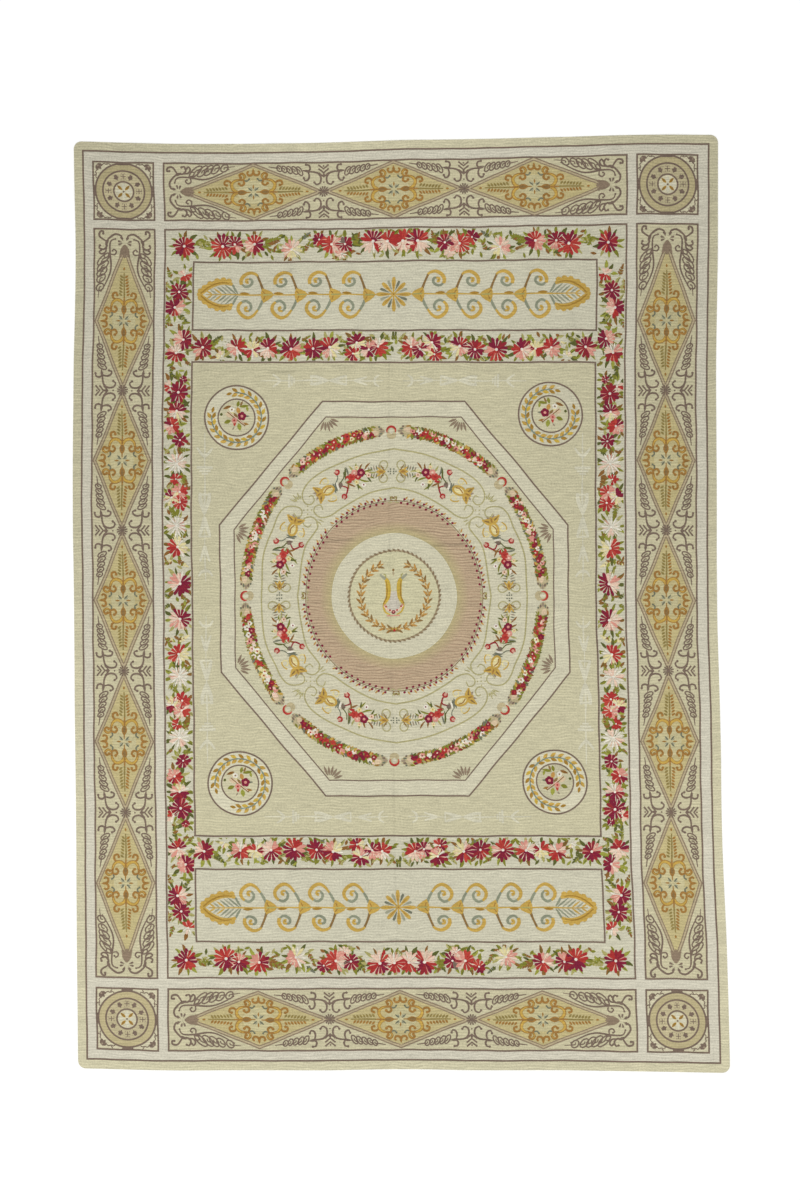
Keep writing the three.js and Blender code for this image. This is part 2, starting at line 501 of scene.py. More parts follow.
PANELS_ACROSS = {
    "left": (PANEL_OUT["left"], PANEL_IN["left"]),
    "right": (PANEL_IN["right"], PANEL_OUT["right"]),
}
PANELS_UP = {
    "top": (PANEL_IN["top"], PANEL_OUT["top"]),
    "bottom": (PANEL_OUT["bottom"], PANEL_IN["bottom"]),
}
CORNER_BOXES = [make_box(*across, *up) for up in PANELS_UP.values() for across in PANELS_ACROSS.values()]
END_BOXES = {
    end: make_box(FLOWER_OUT["left"], FLOWER_OUT["right"], *up) for end, up in PANELS_UP.items()
}
SIDE_BOXES = {
    side: make_box(*across, FLOWER_OUT["bottom"], FLOWER_OUT["top"])
    for side, across in PANELS_ACROSS.items()
}
print("field", [round(2 * h) for h in box_halves(FIELD)], "mm")

# %% [markdown]
# The grounds are the broad plain areas. They could be separate pieces of mesh, but they all meet edge to
# edge in one cloth, so they are painted on the cloth's own material. Each is a test on the chart's
# coordinates: inside a box, an octagon or an oval. Most tests give 0 or 1, a few run softly from one to the
# other, and the later grounds cover the earlier ones.

# %% The grounds, painted from the plan
HALO_FADE = 0.2
FURROW_SWAY = 0.03
# Where the darker khaki of painted shade lies on the outer band, in metres.
KHAKI_SHADE_ACROSS = (0.3, 1.0)
KHAKI_SHADE_UP = (-0.5, 0.7)


def grounds(wires):
    chart = wires.add("ShaderNodeUVMap", uv_map="weave").outputs[0]
    split = wires.add("ShaderNodeSeparateXYZ", {"Vector": chart})
    x, y = split.outputs[0], split.outputs[1]

    def inside_box(box):
        (mx, my), (hx, hy) = box_middle(box), box_halves(box)
        return wires.sum(
            "MULTIPLY",
            wires.sum("COMPARE", x, mx * MM, hx * MM),
            wires.sum("COMPARE", y, my * MM, hy * MM),
        )

    from_middle_x = wires.sum("ABSOLUTE", wires.sum("SUBTRACT", x, MIDDLE[0] * MM))
    from_middle_y = wires.sum("ABSOLUTE", wires.sum("SUBTRACT", y, MIDDLE[1] * MM))

    def inside_octagon(shape):
        slant = wires.sum(
            "MULTIPLY_ADD", from_middle_x, 1 / (shape["slant_x"] * MM),
            wires.sum("DIVIDE", from_middle_y, shape["slant_y"] * MM),
        )
        wide = wires.sum("DIVIDE", from_middle_x, shape["half_width"] * MM)
        high = wires.sum("DIVIDE", from_middle_y, shape["half_height"] * MM)
        return wires.sum("LESS_THAN", wires.sum("MAXIMUM", slant, wires.sum("MAXIMUM", wide, high)), 1.0)

    def oval_reach(half):
        wide = wires.sum("SUBTRACT", wires.sum("DIVIDE", x, half[0] * MM), RINGS[0] / half[0])
        high = wires.sum("SUBTRACT", wires.sum("DIVIDE", y, half[1] * MM), RINGS[1] / half[1])
        squares = wires.sum("ADD", wires.sum("MULTIPLY", wide, wide), wires.sum("MULTIPLY", high, high))
        return wires.sum("SQRT", squares)

    def inside_oval(half):
        return wires.sum("LESS_THAN", oval_reach(half), 1.0)

    def soft_oval(half, fade):
        return wires.ramp(oval_reach(half), 1.0, 1.0 + fade, 1.0, 0.0, kind="LINEAR")

    def lozenges(along_axis, across_axis, first, across_middle):
        """Inside a row of lozenges, by a zigzag along the panel."""
        half_pitch = LOZENGE_PITCH / 2
        zigzag = wires.sum("PINGPONG", wires.sum("SUBTRACT", along_axis, first * MM), half_pitch * MM)
        slope = -LOZENGE_HALF_WIDTH / half_pitch
        reach = wires.sum("MULTIPLY_ADD", zigzag, slope, LOZENGE_HALF_WIDTH * MM)
        off = wires.sum("ABSOLUTE", wires.sum("SUBTRACT", across_axis, across_middle * MM))
        return wires.sum("LESS_THAN", off, reach)

    # Painted light and shade on the outer band: lighter khaki, and darker khaki towards its upper sides.
    outward = wires.ramp(wires.sum("ABSOLUTE", x), *KHAKI_SHADE_ACROSS)
    khaki_shade_share = wires.sum("MULTIPLY", outward, wires.ramp(y, *KHAKI_SHADE_UP))
    painted = wires.mix(khaki_shade_share, dye("lit khaki"), dye("khaki"))
    layers = [(inside_box(OUTER), "gutter")]
    for box in CORNER_BOXES:
        layers.append((inside_box(box), "square straw"))
    for box in (*END_BOXES.values(), *SIDE_BOXES.values()):
        layers.append((inside_box(box), "straw"))
    reach = LOZENGE_PITCH / 2
    for box in END_BOXES.values():
        run = {**box, "left": END_PANEL_CENTRES[0] - reach, "right": END_PANEL_CENTRES[-1] + reach}
        row = lozenges(x, y, END_PANEL_CENTRES[0], box_middle(box)[1])
        layers.append((wires.sum("MULTIPLY", inside_box(run), row), "olive straw"))
    for box in SIDE_BOXES.values():
        run = {**box, "top": SIDE_PANEL_CENTRES[0] + reach, "bottom": SIDE_PANEL_CENTRES[-1] - reach}
        row = lozenges(y, x, SIDE_PANEL_CENTRES[0], box_middle(box)[0])
        layers.append((wires.sum("MULTIPLY", inside_box(run), row), "olive straw"))
    in_disc = inside_oval(DISC)
    layers += [
        (inside_box(FLOWER_OUT), "cream"),
        (inside_box(SCROLL_TOP), "grey cream"),
        (inside_box(SCROLL_BOTTOM), "grey cream"),
        (inside_box(FIELD), "field"),
        (inside_octagon(OCTAGON), "octagon cream"),
        (inside_octagon(OCTAGON_IN), "inner field"),
        (inside_oval(GARLAND), "garland cream"),
        (in_disc, "disc brown"),
    ]
    # Painted shade: dark stripes across the brown disc stand for the shade in the furrows between its ribs.
    sway = wires.noise(wires.sum("MULTIPLY", x, 0.5), y, 14.0)
    swayed = wires.sum("MULTIPLY_ADD", sway, FURROW_SWAY, y)
    furrow_shade = wires.sum("SINE", wires.sum("MULTIPLY", swayed, math.tau / FURROW_PITCH))
    furrow_shade = wires.sum("MULTIPLY", wires.sum("MAXIMUM", furrow_shade, 0.0), FURROW_SHADE_STRENGTH)
    layers += [
        (wires.sum("MULTIPLY", furrow_shade, in_disc), "painted furrow shade"),
        (wires.sum("MULTIPLY", soft_oval(CREAM_RING, HALO_FADE), in_disc), "halo"),
        (inside_oval(CREAM_RING), "garland cream"),
        (inside_oval((ROPE_RADIUS, ROPE_RADIUS)), "heart cream"),
    ]
    for mask, name in layers:
        painted = wires.mix(mask, painted, dye(name))
    return painted


ground_wool = wool("ground_wool", grounds)
print("ground wool:", len(ground_wool.node_tree.nodes), "nodes")

# %% [markdown]
# The cloth is one thin closed sheet. A primitive plane couldn't hold the ridges without a very fine grid
# everywhere, so the grid is worked out: wide cells where the cloth is flat, close lines over each crease,
# at the rounded corners, and along the rim, where the thickness runs out in a soft turned edge.

# %% The cloth's grid
PLAIN_STEP = 24
CREASE_STEP = 9
RIM_STEPS = (0, 0.5, 1.4, 3, 7)
CORNER_STEPS = (24, 18, 13, 10)
RIM_ROUND = 3.0
RIM_LEAST = 0.35


def grid_lines(half, axis):
    """Grid places from -half to half along x (axis 0) or y (axis 1)."""
    close = []
    for crease in CREASES:
        crown = (crease[axis] + crease[axis + 2]) / 2
        if abs(crease[axis] - crease[axis + 2]) < 30:
            count = math.ceil(crease[5] / CREASE_STEP)
            close += [crown + crease[5] * k / count for k in range(-count, count + 1)]
    ends = [sign * (half - step) for step in (*RIM_STEPS, *CORNER_STEPS) for sign in (-1, 1)]
    taken = sorted(set(round(c, 3) for c in close))
    count = round(2 * half / PLAIN_STEP)
    plain = [-half + 2 * half * k / count for k in range(1, count)]
    fixed = np.array(taken + ends)
    plain = [p for p in plain if np.abs(fixed - p).min() > PLAIN_STEP / 4]
    merged = sorted(taken + ends + plain)
    return np.array([m for k, m in enumerate(merged) if k == 0 or m - merged[k - 1] > 0.3])


def rim_share(x, y):
    """How much of its thickness the cloth has at a place: all of it but at the rim."""
    inward = np.minimum(HALF_WIDTH - np.abs(x), HALF_LENGTH - np.abs(y))
    t = np.clip(inward / RIM_ROUND, 0, 1)
    return RIM_LEAST + (1 - RIM_LEAST) * np.sqrt(1 - (1 - t) ** 2)


xs = grid_lines(HALF_WIDTH, 0)
ys = grid_lines(HALF_LENGTH, 1)
print("cloth grid", len(xs), "by", len(ys))

# %% [markdown]
# Two maps go on every mesh. The one named weave holds the chart in metres, and the weave and the grounds
# read it. The other lays the faces out in a unit square without overlaps, for a texture to be baked on: the
# face of the cloth fills nearly all of it, and the hidden underside gets a narrow strip.

# %% Maps, tone and a mesh from arrays
STRIP = 0.07
EDGE = 0.004


def give_maps(mesh, chart_x, chart_y, upper):
    """Adds both maps. The chart is in millimetres for each vertex, and upper says which ones are on top."""
    corner = np.empty(len(mesh.loops), np.int32)
    mesh.loops.foreach_get("vertex_index", corner)
    place = np.column_stack([chart_x, chart_y]) * MM
    mesh.uv_layers.new(name="weave").uv.foreach_set("vector", place[corner].astype(np.float32).ravel())
    low = place.min(axis=0)
    span = np.maximum(np.ptp(place, axis=0), 1e-6)
    unit = (place - low) / span
    firsts = np.empty(len(mesh.polygons), np.int32)
    mesh.polygons.foreach_get("loop_start", firsts)
    counts = np.diff(np.append(firsts, len(corner)))
    on_top = np.repeat(np.add.reduceat(upper[corner].astype(int), firsts) > 0, counts)
    at = unit[corner]
    u = EDGE + (1 - 2 * EDGE) * at[:, 0]
    v_top = STRIP + EDGE + (1 - STRIP - 2 * EDGE) * at[:, 1]
    v_under = EDGE + (STRIP - 2 * EDGE) * at[:, 1]
    v = np.where(on_top, v_top, v_under)
    unit_place = np.column_stack([u, v]).astype(np.float32)
    mesh.uv_layers.new(name="OFBake").uv.foreach_set("vector", unit_place.ravel())
    mesh.uv_layers.active = mesh.uv_layers["weave"]


def new_piece(name, points, faces):
    mesh = bpy.data.meshes.new(name)
    mesh.from_pydata(points, [], faces)
    mesh.update()
    piece = bpy.data.objects.new(name, mesh)
    bpy.context.scene.collection.objects.link(piece)
    return piece


# %% The cloth
def make_cloth():
    gx, gy = np.meshgrid(xs, ys)
    gx, gy = gx.ravel(), gy.ravel()
    half = THICKNESS / 2 * rim_share(gx, gy)
    over = laid(gx, gy, THICKNESS / 2 + half)
    under = laid(gx, gy, THICKNESS / 2 - half)
    columns, rows = len(xs), len(ys)
    count = columns * rows
    i = np.arange(columns - 1)
    j = np.arange(rows - 1)
    corner = (j[:, None] * columns + i).ravel()
    quads = np.column_stack([corner, corner + 1, corner + columns + 1, corner + columns])
    south, north = i, (rows - 1) * columns + i
    west, east = j * columns, j * columns + columns - 1
    rim_edges = np.concatenate([
        np.column_stack([south, south + 1]),
        np.column_stack([east, east + columns]),
        np.column_stack([north + 1, north]),
        np.column_stack([west + columns, west]),
    ])
    first, second = rim_edges.T
    walls = np.column_stack([first + count, second + count, second, first])
    faces = np.concatenate([quads, quads[:, ::-1] + count, walls])
    piece = new_piece("rug_cloth", np.concatenate([over, under]).tolist(), faces.tolist())
    upper = np.arange(2 * count) < count
    give_maps(piece.data, np.tile(gx, 2), np.tile(gy, 2), upper)
    piece.data.materials.append(ground_wool)
    piece.data.shade_smooth()
    return piece


cloth = make_cloth()
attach(cloth, "root")
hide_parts("rug")
print("cloth", len(cloth.data.polygons), "faces")

# %% [markdown]
# A pen draws on the chart. Complex numbers make plane drawing short: a place is one number, and a turn with
# a change of size is one product. A pen can hand out another pen that is placed, turned, sized or mirrored
# within its own space, so a motif is drawn once and used wherever it repeats. What it draws are strokes,
# loops, small fills and broad ovals, each kept as a flat patch with its yarn and its layer.


# %% The pen
class Pen:
    def __init__(self, shapes, spot=0j, turn=1 + 0j, mirrored=False):
        self.shapes = shapes
        self.spot = spot
        self.turn = turn
        self.mirrored = mirrored

    def put(self, z):
        return self.spot + self.turn * (np.conj(z) if self.mirrored else z)

    def at(self, x=0, y=0, degrees=0, size=1.0, mirrored=False):
        """A pen in this pen's space. Mirrored turns its y upside down, before it is turned."""
        angle = math.radians(-degrees if self.mirrored else degrees)
        turn = self.turn * cmath.rect(size, angle)
        return Pen(self.shapes, complex(self.put(complex(x, y))), turn, self.mirrored != mirrored)

    def both(self, x=0, y=0, degrees=0, size=1.0):
        """Two pens, one the mirror image of the other across the local x axis."""
        return self.at(x, y, degrees, size), self.at(x, -y, -degrees, size, mirrored=True)

    def keep(self, points, faces, edges, yarn_name, layer):
        if self.mirrored:
            faces = [face[::-1] for face in faces]
            edges = [edge[::-1] for edge in edges]
        self.shapes.append((self.put(np.asarray(points, complex)), faces, edges, yarn_name, layer))

    def stroke(self, path, width, yarn_name, layer=1):
        """A ribbon along a path. The width is one number, or a list that is spread along the path."""
        path = np.asarray(path, complex)
        count = len(path)
        spread = np.linspace(0, 1, count)
        wide = np.interp(spread, np.linspace(0, 1, np.size(width)), np.atleast_1d(width))
        ahead = np.gradient(path)
        side = 1j * ahead / np.maximum(np.abs(ahead), 1e-9) * wide / 2
        faces, edges = ribbon_faces(count)
        self.keep(np.concatenate([path + side, path - side]), faces, edges, yarn_name, layer)

    def loop(self, path, width, yarn_name, layer=1):
        """A closed ribbon along a closed path, whose last point isn't its first one again."""
        path = np.asarray(path, complex)
        count = len(path)
        ahead = np.roll(path, -1) - np.roll(path, 1)
        side = 1j * ahead / np.maximum(np.abs(ahead), 1e-9) * width / 2
        faces, edges = ribbon_faces(count, closed=True)
        if np.sum((np.conj(path) * np.roll(path, -1)).imag) < 0:
            side = -side
            faces = [face[::-1] for face in faces]
            edges = [edge[::-1] for edge in edges]
        self.keep(np.concatenate([path + side, path - side]), faces, edges, yarn_name, layer)

    def fill(self, outline, yarn_name, layer=1):
        """A small patch inside an outline that can be seen whole from its middle."""
        outline = np.asarray(outline, complex)
        if np.sum((np.conj(outline) * np.roll(outline, -1)).imag) < 0:
            outline = outline[::-1]
        count = len(outline)
        after = [(k + 1) % count for k in range(count)]
        faces = [(count, k, after[k]) for k in range(count)]
        edges = [(k, after[k]) for k in range(count)]
        self.keep(np.append(outline, outline.mean()), faces, edges, yarn_name, layer)

    def oval(self, half_x, half_y, yarn_name, layer=1, hole=0.0):
        """A broad oval, or a ring where hole is the share of it that is left out."""
        rings = max(1, math.ceil((1 - hole) * max(half_x, half_y) / PATCH_STEP))
        count = max(12, math.ceil(math.tau * max(half_x, half_y) / PATCH_STEP))
        shares = np.linspace(1, hole, rings + 1)
        around = np.exp(1j * np.linspace(0, math.tau, count, endpoint=False))
        unit = around.real * half_x + 1j * around.imag * half_y
        rows = [unit * share for share in (shares if hole else shares[:-1])]
        points = np.concatenate(rows)
        after = [(k + 1) % count for k in range(count)]
        faces = [
            (r * count + k, r * count + after[k], (r + 1) * count + after[k], (r + 1) * count + k)
            for r in range(len(rows) - 1)
            for k in range(count)
        ]
        edges = [(k, after[k]) for k in range(count)]
        last = (len(rows) - 1) * count
        if hole:
            edges += [(last + after[k], last + k) for k in range(count)]
        else:
            points = np.append(points, 0)
            faces += [(last + k, last + after[k], len(points) - 1) for k in range(count)]
        self.keep(points, faces, edges, yarn_name, layer)


PATCH_STEP = 13.0
ribbon_cache = {}


def ribbon_faces(count, closed=False):
    """The faces of a ribbon whose left side is numbered first, and its border, both turning left."""
    if (count, closed) not in ribbon_cache:
        steps = [(k, (k + 1) % count) for k in range(count if closed else count - 1)]
        faces = [(count + a, count + b, b, a) for a, b in steps]
        edges = [(count + a, count + b) for a, b in steps] + [(b, a) for a, b in steps]
        if not closed:
            edges += [(2 * count - 1, count - 1), (0, count)]
        ribbon_cache[count, closed] = (faces, edges)
    return ribbon_cache[count, closed]


# %% Paths for the pen
def line(a, b, step=13.0):
    count = max(2, math.ceil(abs(b - a) / step) + 1)
    return np.linspace(a, b, count)


def polyline(*points, step=13.0):
    runs = [line(a, b, step)[:-1] for a, b in zip(points, points[1:])]
    return np.concatenate([*runs, [points[-1]]])


def arc(middle, radius, start, end, step=6.0):
    count = max(4, math.ceil(abs(math.radians(end - start)) * radius / step) + 1)
    return middle + radius * np.exp(1j * np.radians(np.linspace(start, end, count)))


def sweep(start, heading, *legs, step=5.0):
    """A path like a walk: each leg has a length and the degrees that it turns to the left on its way."""
    spots = [start]
    way = math.radians(heading)
    for length, turn in legs:
        count = max(2, math.ceil(length / step), math.ceil(abs(turn) / 30))
        for _ in range(count):
            way += math.radians(turn) / count / 2
            spots.append(spots[-1] + cmath.rect(length / count, way))
            way += math.radians(turn) / count / 2
    return np.array(spots)


def smooth_path(points, steps=4):
    """A soft curve through a few places."""
    given = [complex(*p) if isinstance(p, tuple) else p for p in points]
    padded = [2 * given[0] - given[1], *given, 2 * given[-1] - given[-2]]
    spots = []
    for a, b, c, d in zip(padded, padded[1:], padded[2:], padded[3:]):
        for k in range(steps):
            t = k / steps
            spots.append(b + 0.5 * t * (c - a + t * (2 * a - 5 * b + 4 * c - d + t * (3 * (b - c) + d - a))))
    return np.array([*spots, given[-1]])


LENS = (0.2, 0.72, 1.0, 0.95, 0.6, 0.12)
BLADE = (0.25, 0.56, 0.86, 1.0, 0.76, 0.15)
DROP = (0.15, 0.4, 0.7, 0.95, 1.0, 0.75)


def lens(pen, start, end, width, yarn_name, layer=1, shape=LENS, bow=0.0):
    """A petal or a leaf from start to end. A bow bends it sideways by that share of its length."""
    path = np.linspace(start, end, len(shape))
    t = np.linspace(0, 1, len(shape))
    path = path + 1j * (end - start) * bow * 4 * t * (1 - t)
    pen.stroke(path, [width * s for s in shape], yarn_name, layer)


def dot(pen, middle, radius, yarn_name, layer=1, sides=7):
    pen.fill(middle + radius * np.exp(1j * np.arange(sides) * math.tau / sides), yarn_name, layer)


# %% [markdown]
# When a motif has been drawn, it is woven: each flat patch becomes a very thin closed slab. Its top stands
# a quarter of a millimetre over the cloth and a little more for each layer, and its foot is inside the
# cloth, so nothing floats. Shapes of one layer differ by a hair's breadth in height, because two faces in
# exactly the same place would flicker. The corners of the slab are carried to the lying cloth one by one,
# and long shapes have a corner every 13 mm, so they follow the creases.

# %% Weaving the patches into one piece
FACE_RISE = 0.25
LAYER_RISE = 0.12
OWN_RISES = 79
FOOT = 0.7
TONE_SPREAD = 0.05


def weave(name, shapes):
    chooser = random.Random(1)
    points, layers, faces, slots, tones = [], [], [], [], []
    names = sorted({shape[3] for shape in shapes})
    base = 0
    for number, (spots, patch, edges, yarn_name, layer) in enumerate(shapes):
        count = len(spots)
        points.append(spots)
        layers.append(np.full(count, layer + number % OWN_RISES / OWN_RISES))
        tones.append(np.full(count, chooser.uniform(-TONE_SPREAD, TONE_SPREAD)))
        top = [tuple(base + k for k in face) for face in patch]
        foot = [tuple(base + count + k for k in face[::-1]) for face in patch]
        walls = [(base + count + a, base + count + b, base + b, base + a) for a, b in edges]
        faces += top + foot + walls
        slots += [names.index(yarn_name)] * (len(top) + len(foot) + len(walls))
        base += 2 * count
    chart, rise, tone, upper = [], [], [], []
    for spots, layer, shade in zip(points, layers, tones):
        chart += [spots, spots]
        rise += [THICKNESS + FACE_RISE + LAYER_RISE * layer, np.full(len(spots), THICKNESS - FOOT)]
        tone += [shade, shade]
        upper += [np.ones(len(spots), bool), np.zeros(len(spots), bool)]
    chart = np.concatenate(chart)
    placed = laid(chart.real, chart.imag, np.concatenate(rise))
    piece = new_piece(name, placed.tolist(), faces)
    give_maps(piece.data, chart.real, chart.imag, np.concatenate(upper))
    piece.data.attributes.new("tone", "FLOAT", "POINT").data.foreach_set("value", np.concatenate(tone))
    for yarn_name in names:
        piece.data.materials.append(yarn(yarn_name))
    piece.data.polygons.foreach_set("material_index", slots)
    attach(piece, "root")
    triangles = sum(len(face) - 2 for face in faces)
    print(f"{name}: {len(shapes)} shapes, {triangles} triangles, {len(names)} yarns")


# %% [markdown]
# The frame of lines comes first. On the rug each is two or three rows of dark yarn, a little uneven because
# it was drawn on the warps by hand. A line is a closed ribbon round a box, with its four corners square.

# %% Frame lines
frame_lines = []
pen = Pen(frame_lines)


def box_line(pen, box, yarn_name="taupe", width=LINE_WIDTH):
    """Four straight ribbons that lap over each other at the corners."""
    reach = width / 2
    left, right, bottom, top = (box[k] for k in ("left", "right", "bottom", "top"))
    for y in (bottom, top):
        pen.stroke(line(complex(left - reach, y), complex(right + reach, y)), width, yarn_name)
    for x in (left, right):
        pen.stroke(line(complex(x, bottom + reach), complex(x, top - reach)), width, yarn_name)


def octagon_path(shape, step=13.0):
    wide, high = shape["half_width"], shape["half_height"]
    flat_top = shape["slant_x"] * (1 - high / shape["slant_y"])
    flat_side = shape["slant_y"] * (1 - wide / shape["slant_x"])
    quarter = [complex(wide, flat_side), complex(flat_top, high)]
    corners = quarter + [-z.conjugate() for z in reversed(quarter)]
    corners += [z.conjugate() for z in reversed(corners)]
    path = polyline(*corners, corners[0], step=step)
    return path[:-1] + complex(*MIDDLE)


for box in (OUTER, FLOWER_OUT, SCROLL_TOP, SCROLL_BOTTOM, FIELD):
    box_line(pen, box)
for box in (*CORNER_BOXES, *END_BOXES.values(), *SIDE_BOXES.values()):
    box_line(pen, box)
for shape, width in ((OCTAGON, 4.6), (OCTAGON_IN, 3.6)):
    pen.loop(octagon_path(shape), width, "taupe")
weave("frame_lines", frame_lines)

# %% [markdown]
# Curls are the commonest shape on this rug. A curl is a soft path through a few places that swells on its
# way and ends in a small round bulb. Chains of slanted loops, stars and chevrons are made of strokes too.


# %% Curls, vines and small parts
def drawn_curl(pen, points, width=5.0, yarn_name="taupe", layer=1, bulb=0.75):
    """A free curl through given places, with a bulb at its end."""
    path = smooth_path(points)
    pen.stroke(path, [0.85 * width, 1.15 * width, 1.05 * width, 0.8 * width], yarn_name, layer)
    if bulb:
        dot(pen, path[-1], bulb * width, yarn_name, layer)


def loop_chain(pen, spine, first_reach, last_reach, loops, slant, width, yarn_name, layer=1):
    """Slanted loops that overlap along a spine, each with a small curl in it. Their half length shrinks
    from the first reach to the last one."""
    spine = np.asarray(spine, complex)
    length = np.abs(np.diff(spine)).sum()
    ahead = np.gradient(spine)
    ahead = ahead / np.abs(ahead)
    around = np.exp(1j * np.linspace(0, math.tau, 13)[:-1])
    for k in range(loops):
        share = (k + 0.5) / loops
        place = round(share * (len(spine) - 1))
        reach = first_reach + (last_reach - first_reach) * share
        half_wide = 0.43 * length / loops
        way = ahead[place] * cmath.rect(1, math.radians(slant))
        outline = reach * around.real + 1j * half_wide * around.imag
        pen.loop(spine[place] + way * outline, width, yarn_name, layer + k % 2)
        inner = smooth_path([
            (0.7 * reach, -0.5 * half_wide),
            (0.1 * reach, 0.1 * half_wide),
            (-0.3 * reach, -0.2 * half_wide),
        ], 3)
        pen.stroke(spine[place] + way * inner, 0.8 * width, yarn_name, layer + 2)


def star(pen, rays, inner, outer, width, yarn_name, layer=1, turn=0.0):
    for k in range(rays):
        way = cmath.rect(1, math.radians(turn + 360 * k / rays))
        lens(pen, way * inner, way * outer, width, yarn_name, layer, shape=DROP)


def chevrons(pen, places, reach, width, yarn_name, layer=1):
    """Nested arrowheads whose points look to the pen's origin."""
    for x in places:
        back = x + 0.8 * reach
        pen.stroke([complex(back, reach), complex(x, 0), complex(back, -reach)], width, yarn_name, layer)


# %% [markdown]
# A square stands in each corner of the frame: a small cream disc with four gold petals, rings round it with
# dark leaves and small crosses between them, and little sprays in the four corners of the square.

# %% Corner squares
corner_squares = []
for box in CORNER_BOXES:
    pen = Pen(corner_squares).at(*box_middle(box))
    half_x, half_y = box_halves(box)
    pen.oval(87, 87, "ring tan", 1, hole=64 / 87)
    pen.oval(64, 64, "ring straw", 1, hole=30 / 64)
    for radius in (88, 65, 31):
        pen.loop(arc(0, radius, 0, 360, step=7)[:-1], LINE_WIDTH, "taupe", 3)
    pen.oval(30, 30, "square straw", 1)
    for k in range(4):
        arm = pen.at(degrees=90 * k)
        slanted = pen.at(degrees=90 * k + 45)
        reach = (half_x, half_y)[k % 2] - 4.5
        arm.stroke(line(reach - 17j, reach + 17j), 6.5, "taupe", 4)
        lens(arm, 5, 26, 10, "ghost", 2)
        lens(slanted, 7, 27, 8.5, "deep gold", 3)
        lens(slanted, 14, 24, 3, "bronze", 4)
        arm.stroke(line(39, 57), 2.4, "taupe", 2)
        arm.stroke(line(48 - 8j, 48 + 8j), 2.4, "taupe", 2)
        for spot in (40 + 6j, 40 - 6j, 56 + 5j, 56 - 5j):
            dot(arm, spot, 1.9, "pale taupe", 2)
        for side in (-27, 27):
            leaf = pen.at(degrees=90 * k + side)
            lens(leaf, 39, 57, 10.5, "taupe", 2, shape=DROP)
            lens(leaf, 43, 50 - 8j, 5, "taupe", 3)
            lens(leaf, 43, 50 + 8j, 5, "taupe", 3)
        lens(slanted, 97, 116, 17, "taupe", 2, shape=DROP)
        dot(slanted, 112 + 0j, 3.4, "pale taupe", 3)
        for mirror in slanted.both():
            lens(mirror, 101 + 8j, 113 + 9j, 7, "taupe", 2)
            drawn_curl(mirror, [(103, 10), (103, 18), (96, 22), (92, 29), (88, 30)], 2.6)
            lens(mirror, 97 + 24j, 98 + 34j, 3.2, "taupe", 2)
    dot(pen, 0, 3, "taupe", 4)
weave("corner_squares", corner_squares)

# %% [markdown]
# The frame's panels are rows of long lozenges with a dark double outline. In each stands a small gold
# ornament: a rosette between two calyxes, four brackets with curls, and a fern leaf towards either tip. The
# places are in the lozenge's own space, with x along the panel, and each quarter mirrors the next.


# %% The lozenge
def lozenge_outline(pen, before, after):
    """The double outline, which reaches so far before and after its middle. The tan between the lines is
    a ribbon of its own."""
    for inward, width, yarn_name, layer in (
        (LOZENGE_GAP / 2, LOZENGE_GAP - 1, "tan", 0),
        (LOZENGE_GAP, 2.8, "pale line", 1),
        (0, 3.4, "pale line", 2),
    ):
        share = 1 - inward / LOZENGE_HALF_WIDTH
        for mirror in pen.both():
            corners = (-before * share, 1j * LOZENGE_HALF_WIDTH * share, after * share)
            mirror.stroke(polyline(*corners), width, yarn_name, layer)


def lozenge_ornament(pen):
    pen.oval(49, 37, "lozenge cream", 0)
    for quarter in range(4):
        q = pen.at(degrees=180 * (quarter // 2), mirrored=quarter % 2 == 1)
        lens(q, 4 + 4j, 17 + 15j, 5.5, "slate", 1)
        lens(q, 3 + 7j, 9 + 17j, 3, "pale slate", 1)
        bracket = smooth_path([(50, 1), (62, 9), (67, 24), (58, 36), (43, 40), (30, 40)])
        q.stroke(bracket, [9, 10.5, 9, 7, 6], "ochre", 2)
        q.stroke(bracket[:16] - 0.8, [5, 7.5, 6, 2], "gold", 3)
        drawn_curl(q, [(31, 40), (26, 51), (34, 60), (43, 55), (39, 48)], 6.4, "ochre", 2)
        q.stroke(smooth_path([(30, 42), (26, 51), (33, 59)]), [1.5, 2.6, 1.5], "gold", 4)
        drawn_curl(q, [(31, 39), (28, 28), (37, 22), (44, 28)], 6.2, "ochre", 2)
        drawn_curl(q, [(29, 38), (19, 36), (13, 42)], 4.2, "slate", 1)
        drawn_curl(q, [(66, 25), (74, 35), (86, 35), (89, 25), (82, 22)], 6.0, "ochre", 2)
        for k in range(7):
            u = 84 + 9.6 * k
            spread = 14 - 0.7 * k
            name = "fern brown" if quarter in (0, 3) else "ochre"
            lens(q, complex(u - 4, spread - 7), complex(u + 4, spread + 3), 6.6, name, 1)
    for side in (0, 180):
        q = pen.at(degrees=side)
        q.stroke(line(9, 26), [3, 4.4], "ochre", 1)
        lens(q, 20, 54, 17, "ochre", 2, shape=LENS)
        lens(q, 27, 50, 9, "bronze", 4, shape=LENS)
        q.stroke(line(50, 76), [6, 3.6], "ochre", 4)
        q.stroke(line(76, 154), [4.6, 4.2, 3], "fern brown", 2)
        lens(q, 162, 172, 6, "ochre", 1)
        r = pen.at(degrees=90 + side)
        lens(r, 10, 24, 5, "ochre", 1)
        for mirror in r.both():
            bow = smooth_path([(61, 0), (54, 6), (54, 15), (62, 19), (66, 14)])
            mirror.stroke(bow, [7, 6.5, 5], "ochre", 2)
        lens(r, 54, 74, 8, "ochre", 3)


